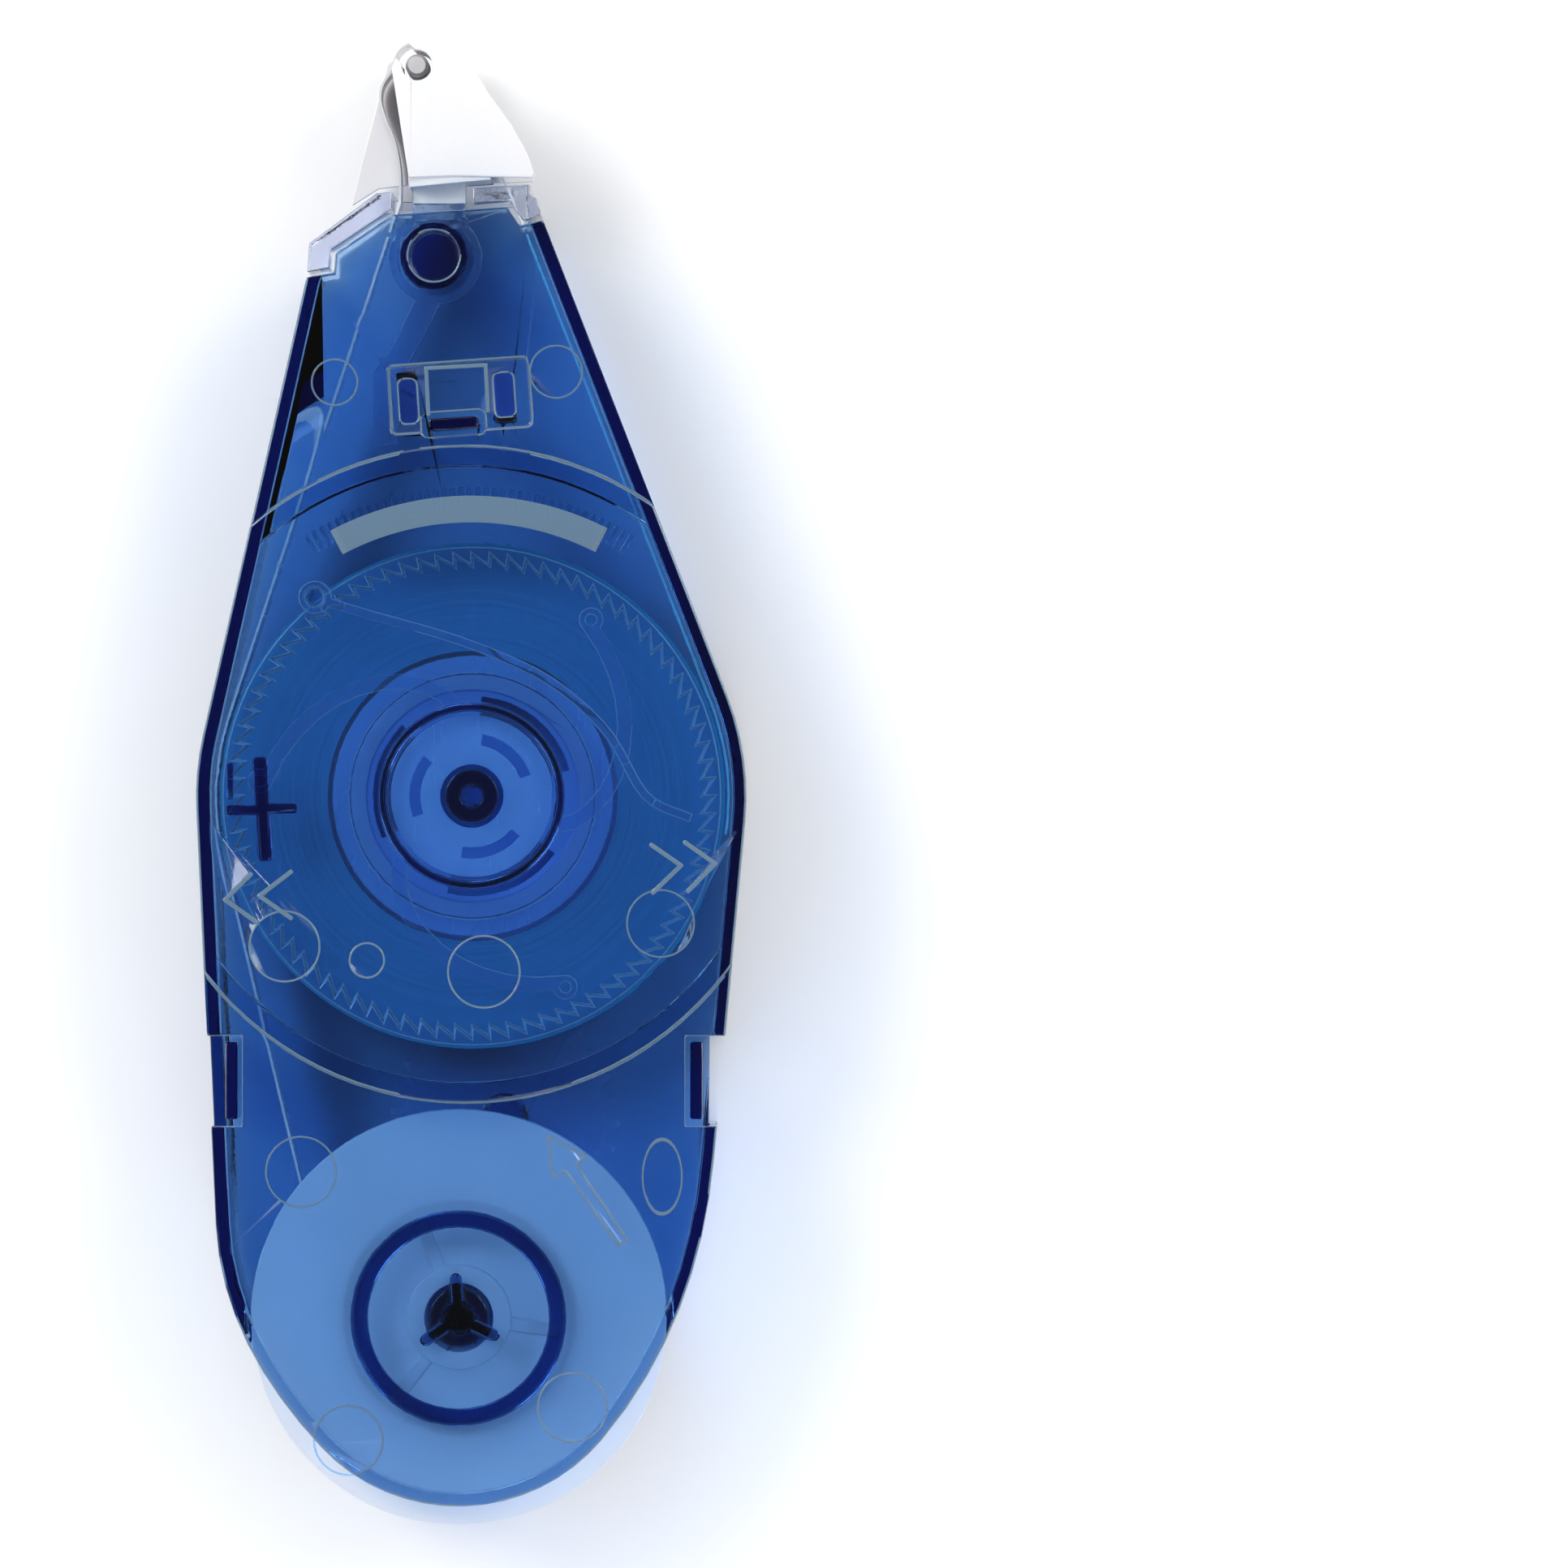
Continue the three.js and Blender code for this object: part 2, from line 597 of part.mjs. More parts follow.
function frontCover() {
  const low = flangeLow;
  const capRib = CAP_RADIUS + CAP_RIB_CLEARANCE;
  const far = caseRadius * 2;
  const notch = [NOTCH_TOP - NOTCH_LENGTH, NOTCH_TOP];
  const raised = disc(stepCentre, stepRadius, lowTop - 0.2, raisedTop, 96)
    .intersect(caseBody(0, lowTop - 0.2, raisedTop));
  const raisedHollow = disc(stepCentre, stepRadius - STEP_WALL, lowCeiling - 0.2, raisedCeiling, 96)
    .intersect(caseBody(WALL, lowCeiling - 0.2, raisedCeiling));
  return caseBody(0, low, lowTop)
    .add(raised)
    .subtract(caseBody(WALL, low - 1, lowCeiling))
    .subtract(raisedHollow)
    .subtract(aboveTopEdge(-1, raisedTop + 1))
    .subtract(disc(takeup, WHEEL_RADIUS + RUN_GAP + 0.1, low - 1, wheelHigh + RUN_GAP, FINE_STEPS))
    .add(ring(axle, capRib, capRib + CAP_RIB_WALL, raisedCeiling - CAP_RIB_DROP, raisedCeiling + ROOT))
    .add(ring(takeup, RING_INNER, RING_OUTER, wheelHigh + RUN_GAP + 0.05, lowCeiling + ROOT))
    .add(starBoss())
    .add(disc(boss, BOSS_RADIUS, low, lowCeiling + 0.2))
    .subtract(disc(boss, RECESS_RADIUS, lowTop - RECESS_DEPTH, raisedTop + 1))
    .subtract(latchBlock(-4.48, 4.48, -2.19, 2.19, lowTop - LATCH_RECESS, raisedTop))
    .subtract(latchBlock(-3.85, -2.75, -1.45, 1.3, low, raisedTop))
    .subtract(latchBlock(2.25, 3.45, -1.45, 1.3, low, raisedTop))
    .subtract(latchBlock(-2.5, 1.5, -2.45, -0.95, low, raisedTop))
    .subtract(block(-far, notchLeft, ...notch, low - 1, raisedTop + 1))
    .subtract(block(notchRight, far, ...notch, low - 1, raisedTop + 1))
    .add(disc(armPost, ARM_POST, ratchetHigh + RUN_GAP - 0.1, raisedCeiling + 0.2, 20));
}

// ---- Neck guide: the clear mouth piece that keeps the two runs of tape apart ----
const GUIDE_MARGIN = 0.2; // the guide is this much thinner than the covers at each face
const GUIDE_BAR = 0.8;

function neckGuide() {
  const low = GUIDE_MARGIN;
  const high = lowTop - GUIDE_MARGIN;
  const edge = NECK_TOP;
  const left = prism([
    [leftShoulder.x + 0.05, leftShoulder.y + 0.35],
    [leftShoulder.x + 1.42, leftShoulder.y + 0.6],
    [leftShoulder.x + 1.55, leftShoulder.y + 1.75],
    [-5.15, edge + 0.33],
    [-5.05, edge + 1.46],
    [-6.07, edge + 1.36],
    [leftShoulder.x + 0.16, leftShoulder.y + 2.16],
  ], low, high);
  const right = prism([
    [0.1, edge + 0.72],
    [2.45, edge + 0.88],
    [3.28, edge - 0.38],
    [rightShoulder.x - 0.12, edge + 0.02],
    [4.18, edge + 1.05],
    [3.76, edge + 1.25],
    [3.76, edge + 1.95],
    [0.1, edge + 1.72],
  ], low, high);
  const bar = block(-5.3, 0.4, edge + 0.72, edge + 1.3, low, low + GUIDE_BAR);
  const window = block(-0.5, 3.5, edge - 1, edge + 3, tapeLow - RUN_GAP, tapeHigh + RUN_GAP);
  return left.add(right).subtract(window).add(bar);
}

// ---- Head ----
const headLow = tapeLow - RUN_GAP - HEAD_PLATE;
const headHigh = tapeHigh + RUN_GAP + HEAD_PLATE;
const stemLow = (tapeLow + tapeHigh - STEM_DEPTH) / 2;
const stemHigh = stemLow + STEM_DEPTH;
const HEAD_LIFT = 2.5; // from the neck's top edge to the foot of the head's plates
const TIP_ROUND = 1.5;
const SNAP_MOUTH = 1.24;
const END_PLAY = 0.15;

function headFrame() {
  const foot = NECK_TOP + HEAD_LIFT;
  const rightEdge = [
    [3.88, foot + 0.4],
    [3.52, tip.y - 5.7],
    [2.48, tip.y - 3.8],
    [1.07, tip.y - 1.9],
    [-0.6, tip.y + 0.9],
    ...arc(tip, TIP_ROUND, 70, 110, 4),
  ];
  const near = prism([
    [-4.09, foot],
    [-1.33, foot + 0.1],
    [3.78, foot],
    ...rightEdge,
    [-4.82, tip.y + 0.75],
    [-5.19, tip.y - 0.2],
  ], tapeHigh + RUN_GAP, headHigh);
  const far = prism([
    [-7.95, NECK_TOP + 0.95],
    [-6.2, foot - 0.45],
    [-4.09, foot - 0.2],
    [3.78, foot],
    ...rightEdge,
    [-4.82, tip.y + 0.85],
    [-5.66, tip.y + 0.44],
    [-6.33, tip.y - 2.15],
    [-7.33, tip.y - 6.1],
  ], headLow, tapeLow - RUN_GAP);
  const web = prism([
    [-4.1, foot - 0.6],
    [1.2, foot - 0.1],
    [-1.45, tip.y - 2.1],
    [-3.2, tip.y - 1.85],
    [-4.3, tip.y - 3.2],
  ], headLow + 0.2, headHigh - 0.2);
  const eyeInner = BOSS_RADIUS + EYE_CLEARANCE;
  const stem = block(-3.9, -0.5, boss.y + eyeInner, foot, stemLow, stemHigh);
  const eye = ring(boss, eyeInner, eyeInner + EYE_WALL, stemLow, stemHigh, 40);
  const tailRoute = [
    [boss.x - 0.4, boss.y - eyeInner - 0.2],
    [-4.75, boss.y - 6.2],
    [-5.66, boss.y - 7.5],
    [-5.66, boss.y - 12.1],
  ];
  const snap = turned([
    [tip.x, tip.y - SNAP_MOUTH / 2],
    [tip.x + 4, tip.y - SNAP_MOUTH / 2],
    [tip.x + 4, tip.y + SNAP_MOUTH / 2],
    [tip.x, tip.y + SNAP_MOUTH / 2],
  ], 135, tip);
  return near.add(far).add(web).add(stem).add(eye)
    .add(strip(tailRoute, TAIL_STRIP, stemLow, stemHigh))
    .subtract(disc(boss, eyeInner, 0, raisedTop, 40))
    .subtract(disc(tip, JOURNAL_RADIUS + SNAP_CLEARANCE, 0, raisedTop, 32))
    .subtract(prism(snap, 0, raisedTop));
}

function tipRoller() {
  return disc(axle, ROLLER_RADIUS, tapeLow - RUN_GAP + END_PLAY, tapeHigh + RUN_GAP - END_PLAY, 32)
    .add(disc(axle, JOURNAL_RADIUS, headLow - 0.1, headHigh + 0.2, 32));
}

// ---- Runs of tape ----
const rollRun = ROLL_RADIUS + FILM_GAP + STRAND / 2;
const wallRun = ROLL_RADIUS + ROLL_SPACE / 2;
const drumRun = filmRadius + FILM_GAP + STRAND / 2;
const tipRun = ROLLER_RADIUS + FILM_GAP + STRAND / 2;
const rightGuide = new THREE.Vector2(2.6, NECK_TOP + 1.1);
const leftGuide = new THREE.Vector2(-4.7, NECK_TOP + 0.9);
const SPLIT_DROP = 1.9; // the runs part here, at the height of the pivot
const SPLIT_GAP = 0.3;
const toDegrees = THREE.MathUtils.radToDeg;

// Direction, from a round's centre, of the point where a straight run from a guide meets the round.
function touch(centre, radius, guide, side) {
  const towards = guide.clone().sub(centre);
  return toDegrees(towards.angle() + side * Math.acos(radius / towards.length()));
}

function between(a, b, y) {
  const share = (y - a[1]) / (b[1] - a[1]);
  return [a[0] + (b[0] - a[0]) * share, y];
}

const rollTouch = touch(axle, rollRun, rightGuide, -1);
const wallTouch = touch(axle, wallRun, leftGuide, 1);
const rightSplit = rightGuide.y - SPLIT_DROP;
const leftSplit = leftGuide.y - SPLIT_DROP;

function tapeRunOut() {
  const wound = arc(axle, rollRun, rollTouch - 30, rollTouch, 8);
  const lastPoint = wound[wound.length - 1];
  const guide = [rightGuide.x, rightGuide.y];
  const end = between(lastPoint, guide, rightSplit - SPLIT_GAP);
  return strip([...wound, end], STRAND, tapeLow, tapeHigh);
}

function tipTape() {
  const guide = [rightGuide.x, rightGuide.y];
  const rollPoint = arc(axle, rollRun, rollTouch, rollTouch, 1)[0];
  const wallPoint = arc(axle, wallRun, wallTouch, wallTouch, 1)[0];
  const overTip = touch(tip, tipRun, rightGuide, 1) - 360;
  const slack = curve([
    polar(tip, tipRun, THREE.MathUtils.degToRad(186)),
    [-5.8, tip.y - 1.2],
    [-5.95, tip.y - 2.2],
    [-5.55, tip.y - 3.6],
    [-5.05, tip.y - 4.8],
    [leftGuide.x, leftGuide.y + 2],
    [leftGuide.x, leftGuide.y],
  ], 24);
  const leftPoint = [leftGuide.x, leftGuide.y];
  return strip([
    between(rollPoint, guide, rightSplit),
    guide,
    ...arc(tip, tipRun, overTip, 180, 12),
    ...slack,
    between(leftPoint, wallPoint, leftSplit),
  ], STRAND, tapeLow, tapeHigh);
}

function filmRunBack() {
  const wallPoint = arc(axle, wallRun, wallTouch, wallTouch, 1)[0];
  const fromSupply = takeup.clone().sub(axle);
  const facing = toDegrees(fromSupply.angle() - Math.acos((wallRun - drumRun) / fromSupply.length()));
  return strip([
    between([leftGuide.x, leftGuide.y], wallPoint, leftSplit - SPLIT_GAP),
    ...arc(axle, wallRun, wallTouch, facing, 8),
    ...arc(takeup, drumRun, facing, facing + 75, 12),
  ], STRAND, tapeLow, tapeHigh);
}

// ---- Assembly ----
const finishes = {
  blue: { color: 0x1d3fb4, roughness: 0.15, metalness: 0 },
  clear: { color: 0xdcdcf2, roughness: 0.12, metalness: 0 },
  white: { color: 0xf4f4f8, roughness: 0.35, metalness: 0 },
  milky: { color: 0xc8d8ee, roughness: 0.4, metalness: 0 },
  grey: { color: 0x9a9a9c, roughness: 0.45, metalness: 0 },
  tape: { color: 0x3f9cb4, roughness: 0.6, metalness: 0 },
  film: { color: 0xb9bcc0, roughness: 0.3, metalness: 0 },
};

const assembly = new THREE.Group();

function place(name, solid, finish, at = axle) {
  const { vertProperties, triVerts } = solid.getMesh();
  const geometry = new THREE.BufferGeometry();
  geometry.setAttribute('position', new THREE.BufferAttribute(vertProperties, 3));
  geometry.setIndex(new THREE.BufferAttribute(triVerts, 1));
  const piece = new THREE.Mesh(geometry, new THREE.MeshStandardMaterial(finishes[finish]));
  piece.name = name;
  piece.position.set(at.x, at.y, 0);
  assembly.add(piece);
}

place('back_cover', backCover(), 'blue');
place('front_cover', frontCover(), 'blue');
place('neck_guide', neckGuide(), 'clear');
place('head_frame', headFrame(), 'white');
place('tip_roller', tipRoller(), 'grey', tip);
place('tape_run_out', tapeRunOut(), 'tape');
place('tip_tape', tipTape(), 'film');
place('film_run_back', filmRunBack(), 'film');
place('backstop_arm', backstopArm(), 'milky');
place('core_ring', coreRing(), 'milky');
place('reel_hub', reelHub(), 'milky');
place('ratchet_flange', ratchetFlange(), 'milky');
place('tape_roll', tapeRoll(), 'tape');
place('drive_gear', driveGear(), 'milky');
place('clutch_spider', clutchSpider(), 'milky');
place('clutch_cap', clutchCap(), 'milky');
place('idler_gear', idlerGear(), 'milky', idler);
place('takeup_spool', takeupSpool(), 'white', takeup);
place('takeup_gear', takeupGear(), 'milky', takeup);
place('used_film_roll', usedFilmRoll(), 'film', takeup);

// Centre the cartridge between the top of the tape at the tip and the foot of the thumb wheel.
const tipTop = tip.y + tipRun + STRAND / 2;
const tailBottom = takeup.y - WHEEL_RADIUS;
assembly.position.y = -(tipTop + tailBottom) / 2;

export default assembly;
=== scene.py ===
"""Correction tape cartridge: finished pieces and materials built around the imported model."""

import json
import logging
import math
from dataclasses import dataclass
from enum import Enum

import bpy
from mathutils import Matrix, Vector

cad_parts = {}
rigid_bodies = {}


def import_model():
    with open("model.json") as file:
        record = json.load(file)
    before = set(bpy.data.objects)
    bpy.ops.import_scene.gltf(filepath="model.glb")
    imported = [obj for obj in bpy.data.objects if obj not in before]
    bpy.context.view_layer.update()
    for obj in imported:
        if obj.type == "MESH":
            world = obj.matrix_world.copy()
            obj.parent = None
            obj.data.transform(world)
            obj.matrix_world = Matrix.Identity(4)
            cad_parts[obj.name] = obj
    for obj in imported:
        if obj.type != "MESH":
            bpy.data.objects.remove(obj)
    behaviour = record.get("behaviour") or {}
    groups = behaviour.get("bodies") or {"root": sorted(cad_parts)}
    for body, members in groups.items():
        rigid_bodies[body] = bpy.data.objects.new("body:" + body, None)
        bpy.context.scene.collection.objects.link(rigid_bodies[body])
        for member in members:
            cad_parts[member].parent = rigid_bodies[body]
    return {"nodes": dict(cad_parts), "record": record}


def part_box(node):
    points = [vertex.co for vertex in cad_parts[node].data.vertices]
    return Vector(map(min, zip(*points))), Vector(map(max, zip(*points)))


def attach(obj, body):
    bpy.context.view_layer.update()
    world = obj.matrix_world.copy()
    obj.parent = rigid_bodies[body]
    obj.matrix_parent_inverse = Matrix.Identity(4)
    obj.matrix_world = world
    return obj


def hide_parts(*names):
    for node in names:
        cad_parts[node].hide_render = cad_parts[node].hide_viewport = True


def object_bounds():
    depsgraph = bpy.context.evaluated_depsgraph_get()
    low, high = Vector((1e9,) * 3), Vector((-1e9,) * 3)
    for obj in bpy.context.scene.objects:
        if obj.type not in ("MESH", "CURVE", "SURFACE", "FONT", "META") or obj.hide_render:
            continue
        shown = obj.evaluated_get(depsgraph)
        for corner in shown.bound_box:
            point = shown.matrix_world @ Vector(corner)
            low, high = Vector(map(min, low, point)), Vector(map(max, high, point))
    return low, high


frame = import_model()
CAD_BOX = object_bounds()
MM = 0.001
log = logging.getLogger("tape_cartridge")

Point = tuple[float, float]
Colour = tuple[float, float, float]


# ---- Working with objects ----


def deselect_all() -> None:
    """Leave edit mode and clear the selection."""
    if bpy.context.object and bpy.context.object.mode != "OBJECT":
        bpy.ops.object.mode_set(mode="OBJECT")
    bpy.ops.object.select_all(action="DESELECT")


def pick(piece: bpy.types.Object) -> None:
    """Select one object alone and make it active.

    Args:
        piece: The object that the next operators act on.
    """
    deselect_all()
    piece.select_set(True)
    bpy.context.view_layer.objects.active = piece


def settle(piece: bpy.types.Object) -> bpy.types.Object:
    """Move a piece's place, turn and scale into its mesh.

    Args:
        piece: The object to settle.

    Returns:
        The same object, at the origin, unturned and unscaled.
    """
    pick(piece)
    bpy.ops.object.transform_apply(location=True, rotation=True, scale=True)
    return piece


def apply_modifier(piece: bpy.types.Object, kind: str, **settings: object) -> None:
    """Add a modifier with these settings and apply it.

    Args:
        piece: The object that is changed.
        kind: Blender's name for the modifier's type.
        **settings: Values set on the modifier before it is applied.
    """
    pick(piece)
    modifier = piece.modifiers.new(kind.lower(), kind)
    for key, value in settings.items():
        setattr(modifier, key, value)
    bpy.ops.object.modifier_apply(modifier=modifier.name)


def soften(piece: bpy.types.Object, width: float, segments: int = 2) -> bpy.types.Object:
    """Round a piece's sharp edges and smooth its shading.

    Args:
        piece: The object to finish.
        width: Width of the rounding, in metres; 0 leaves the edges sharp.
        segments: Steps across each rounded edge.

    Returns:
        The same object.
    """
    if width > 0:
        apply_modifier(
            piece, "BEVEL", width=width, segments=segments, limit_method="ANGLE",
            angle_limit=math.radians(42), use_clamp_overlap=False,
        )
    pick(piece)
    bpy.ops.object.shade_smooth_by_angle(angle=math.radians(28))
    apply_modifier(piece, "WEIGHTED_NORMAL", keep_sharp=True, weight=100)
    return piece


def join(pieces: list[bpy.types.Object], name: str) -> bpy.types.Object:
    """Join several objects into one mesh.

    Args:
        pieces: The objects to join; the first one stays.
        name: Name of the result.

    Returns:
        The joined object.
    """
    deselect_all()
    for piece in pieces:
        piece.select_set(True)
    bpy.context.view_layer.objects.active = pieces[0]
    bpy.ops.object.join()
    pieces[0].name = name
    return pieces[0]


def copy_of_node(node: str, name: str) -> bpy.types.Object:
    """Start a finished piece from a merged copy of a CAD node's shape.

    Args:
        node: Name of the CAD node.
        name: Name of the new piece.

    Returns:
        A new object with clean, merged faces.
    """
    deselect_all()
    bpy.ops.mesh.primitive_cube_add(size=MM)
    piece = bpy.context.object
    piece.name = name
    source = next(o for o in bpy.data.objects if o.type == "MESH" and o.name == node)
    piece.data = source.data.copy()
    piece.data.materials.clear()
    piece.matrix_world.identity()
    pick(piece)
    bpy.ops.object.mode_set(mode="EDIT")
    bpy.ops.mesh.select_all(action="SELECT")
    bpy.ops.mesh.remove_doubles(threshold=0.03 * MM)
    bpy.ops.mesh.dissolve_limited(angle_limit=math.radians(0.5))
    # Faces with many corners fold over themselves when their edges are rounded.
    bpy.ops.mesh.select_all(action="DESELECT")
    bpy.ops.mesh.select_face_by_sides(number=4, type="GREATER", extend=False)
    bpy.ops.mesh.quads_convert_to_tris(quad_method="BEAUTY", ngon_method="BEAUTY")
    bpy.ops.object.mode_set(mode="OBJECT")
    return piece


def centre_of(node: str) -> Vector:
    """Give the middle of a CAD node's box at rest.

    Args:
        node: Name of the CAD node.

    Returns:
        The middle of its box, in metres.
    """
    low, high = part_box(node)
    return (low + high) / 2


# ---- Small moulded details ----


def bar(start: Point, end: Point, width: float, low: float, high: float) -> bpy.types.Object:
    """Make a straight moulded bar with rounded ends worked from a box.

    Args:
        start: One end, in metres.
        end: The other end, in metres.
        width: Width of the bar.
        low: Height of its underside.
        high: Height of its top.

    Returns:
        The settled bar.
    """
    run = Vector(end) - Vector(start)
    middle = (Vector(start) + Vector(end)) / 2
    deselect_all()
    bpy.ops.mesh.primitive_cube_add(
        size=1, location=(middle.x, middle.y, (low + high) / 2),
        rotation=(0, 0, math.atan2(run.y, run.x)),
    )
    piece = bpy.context.object
    piece.scale = (run.length + width, width, high - low)
    settle(piece)
    apply_modifier(
        piece, "BEVEL", width=width * 0.3, segments=2, limit_method="ANGLE",
        angle_limit=math.radians(60),
    )
    return piece


def swept_bar(
    centre: Vector, radius: float, width: float, angles: tuple[float, float], low: float, high: float,
    steps: int = 16,
) -> bpy.types.Object:
    """Spin a small upright rectangle about an axis into a curved bar.

    Args:
        centre: Centre of the curve.
        radius: Radius of the bar's middle line.
        width: Width of the bar.
        angles: Start and end direction, in degrees.
        low: Height of its underside.
        high: Height of its top.
        steps: Steps along the curve.

    Returns:
        The closed curved bar.
    """
    start, end = (math.radians(a) for a in angles)
    across = Vector((math.cos(start), math.sin(start), 0))
    deselect_all()
    bpy.ops.mesh.primitive_plane_add(
        size=1, location=Vector((centre.x, centre.y, (low + high) / 2)) + across * radius,
        rotation=(math.pi / 2, 0, start),
    )
    piece = bpy.context.object
    piece.scale = (width, high - low, 1)
    settle(piece)
    bpy.ops.object.mode_set(mode="EDIT")
    bpy.ops.mesh.select_all(action="SELECT")
    bpy.ops.mesh.spin(
        steps=steps, angle=start - end, center=(centre.x, centre.y, 0), axis=(0, 0, 1), dupli=False,
    )
    bpy.ops.mesh.select_all(action="SELECT")
    bpy.ops.mesh.normals_make_consistent(inside=False)
    bpy.ops.object.mode_set(mode="OBJECT")
    return piece


def circle_line(centre: Point, radius: float, height: float, thickness: float) -> bpy.types.Object:
    """Make the fine raised circle that an ejector pin or gate leaves.

    Args:
        centre: Centre of the mark.
        radius: Radius of its line.
        height: Height of the surface that it stands on.
        thickness: Thickness of the line.

    Returns:
        A thin ring, half sunk in the surface.
    """
    deselect_all()
    bpy.ops.mesh.primitive_torus_add(
        location=(centre[0], centre[1], height), major_radius=radius, minor_radius=thickness / 2,
        major_segments=40, minor_segments=6,
    )
    piece = bpy.context.object
    piece.scale.z = 0.7
    return settle(piece)


# ---- Node groups that several finishes share ----


def new_group(
    name: str, inputs: dict[str, float], outputs: dict[str, str],
) -> tuple[bpy.types.NodeTree, bpy.types.Node, bpy.types.Node]:
    """Start a shader node group with named number inputs and typed outputs.

    Args:
        name: Name of the group.
        inputs: Input names and their default values.
        outputs: Output names and their socket types.

    Returns:
        The group, its input node and its output node.
    """
    group = bpy.data.node_groups.new(name, "ShaderNodeTree")
    for label, value in inputs.items():
        socket = group.interface.new_socket(name=label, in_out="INPUT", socket_type="NodeSocketFloat")
        socket.default_value = value
    for label, kind in outputs.items():
        group.interface.new_socket(name=label, in_out="OUTPUT", socket_type=kind)
    return group, group.nodes.new("NodeGroupInput"), group.nodes.new("NodeGroupOutput")


def link_noise(tree: bpy.types.NodeTree, scale: float, detail: float) -> bpy.types.Node:
    """Add a noise texture that reads Object coordinates.

    Args:
        tree: Tree that the nodes join.
        scale: Scale of the noise, per metre.
        detail: Octaves of detail.

    Returns:
        The noise node.
    """
    place = tree.nodes.new("ShaderNodeTexCoord")
    noise = tree.nodes.new("ShaderNodeTexNoise")
    noise.inputs["Scale"].default_value = scale
    noise.inputs["Detail"].default_value = detail
    tree.links.new(place.outputs["Object"], noise.inputs["Vector"])
    return noise


def moulded_grain_group() -> bpy.types.NodeTree:
    """Build the fine grain of moulded plastic: a height and a soft patchy mask.

    Returns:
        A group with inputs Grain and Patches, and outputs Height and Mask.
    """
    group, entry, out = new_group(
        "moulded_grain", {"Grain": 1.0, "Patches": 1.0},
        {"Height": "NodeSocketFloat", "Mask": "NodeSocketFloat"},
    )
    fine = link_noise(group, 5200.0, 3.0)
    wide = link_noise(group, 160.0, 2.0)
    height = group.nodes.new("ShaderNodeMath")
    height.operation = "MULTIPLY"
    mask = group.nodes.new("ShaderNodeMath")
    mask.operation = "MULTIPLY"
    group.links.new(fine.outputs["Fac"], height.inputs[0])
    group.links.new(entry.outputs["Grain"], height.inputs[1])
    group.links.new(wide.outputs["Fac"], mask.inputs[0])
    group.links.new(entry.outputs["Patches"], mask.inputs[1])
    group.links.new(height.outputs[0], out.inputs["Height"])
    group.links.new(mask.outputs[0], out.inputs["Mask"])
    return group


def handling_marks_group() -> bpy.types.NodeTree:
    """Build the faint hairline rubbing that handling leaves on glossy plastic.

    Returns:
        A group with input Amount and output Mask.
    """
    group, entry, out = new_group("handling_marks", {"Amount": 1.0}, {"Mask": "NodeSocketFloat"})
    place = group.nodes.new("ShaderNodeTexCoord")
    stretch = group.nodes.new("ShaderNodeMapping")
    stretch.inputs["Rotation"].default_value = (0, 0, math.radians(35))
    stretch.inputs["Scale"].default_value = (3000, 160, 400)
    hairs = group.nodes.new("ShaderNodeTexNoise")
    hairs.inputs["Scale"].default_value = 1.0
    hairs.inputs["Detail"].default_value = 2.0
    keep = group.nodes.new("ShaderNodeMapRange")
    keep.inputs["From Min"].default_value = 0.62
    keep.inputs["From Max"].default_value = 0.75
    amount = group.nodes.new("ShaderNodeMath")
    amount.operation = "MULTIPLY"
    group.links.new(place.outputs["Object"], stretch.inputs["Vector"])
    group.links.new(stretch.outputs["Vector"], hairs.inputs["Vector"])
    group.links.new(hairs.outputs["Fac"], keep.inputs["Value"])
    group.links.new(keep.outputs["Result"], amount.inputs[0])
    group.links.new(entry.outputs["Amount"], amount.inputs[1])
    group.links.new(amount.outputs[0], out.inputs["Mask"])
    return group


class SharedEffects:
    """The node groups that the finishes place, each built once."""

    def __init__(self) -> None:
        """Build both groups."""
        self.grain = moulded_grain_group()
        self.marks = handling_marks_group()


def place_group(tree: bpy.types.NodeTree, group: bpy.types.NodeTree, **values: float) -> bpy.types.Node:
    """Place a node group in a material with its own values.

    Args:
        tree: The material's node tree.
        group: The group to place.
        **values: Input values by name.

    Returns:
        The group node.
    """
    node = tree.nodes.new("ShaderNodeGroup")
    node.node_tree = group
    for label, value in values.items():
        node.inputs[label].default_value = value
    return node


def two_tone(
    tree: bpy.types.NodeTree, mask: bpy.types.NodeSocket, first: Colour, second: Colour,
) -> bpy.types.NodeSocket:
    """Mix two colours by a mask.

    Args:
        tree: The material's node tree.
        mask: Socket with the share of the second colour.
        first: Colour where the mask is 0.
        second: Colour where the mask is 1.

    Returns:
        The mixed colour's socket.
    """
    mix = tree.nodes.new("ShaderNodeMix")
    mix.data_type = "RGBA"
    mix.inputs[6].default_value = (*first, 1)
    mix.inputs[7].default_value = (*second, 1)
    tree.links.new(mask, mix.inputs[0])
    return mix.outputs[2]


def ranged(
    tree: bpy.types.NodeTree, mask: bpy.types.NodeSocket, low: float, high: float,
) -> bpy.types.NodeSocket:
    """Turn a 0 to 1 mask into a value between two limits.

    Args:
        tree: The material's node tree.
        mask: Socket with the mask.
        low: Value where the mask is 0.
        high: Value where the mask is 1.

    Returns:
        The value's socket.
    """
    spread = tree.nodes.new("ShaderNodeMapRange")
    spread.inputs["To Min"].default_value = low
    spread.inputs["To Max"].default_value = high
    tree.links.new(mask, spread.inputs["Value"])
    return spread.outputs["Result"]


# ---- Finishes ----


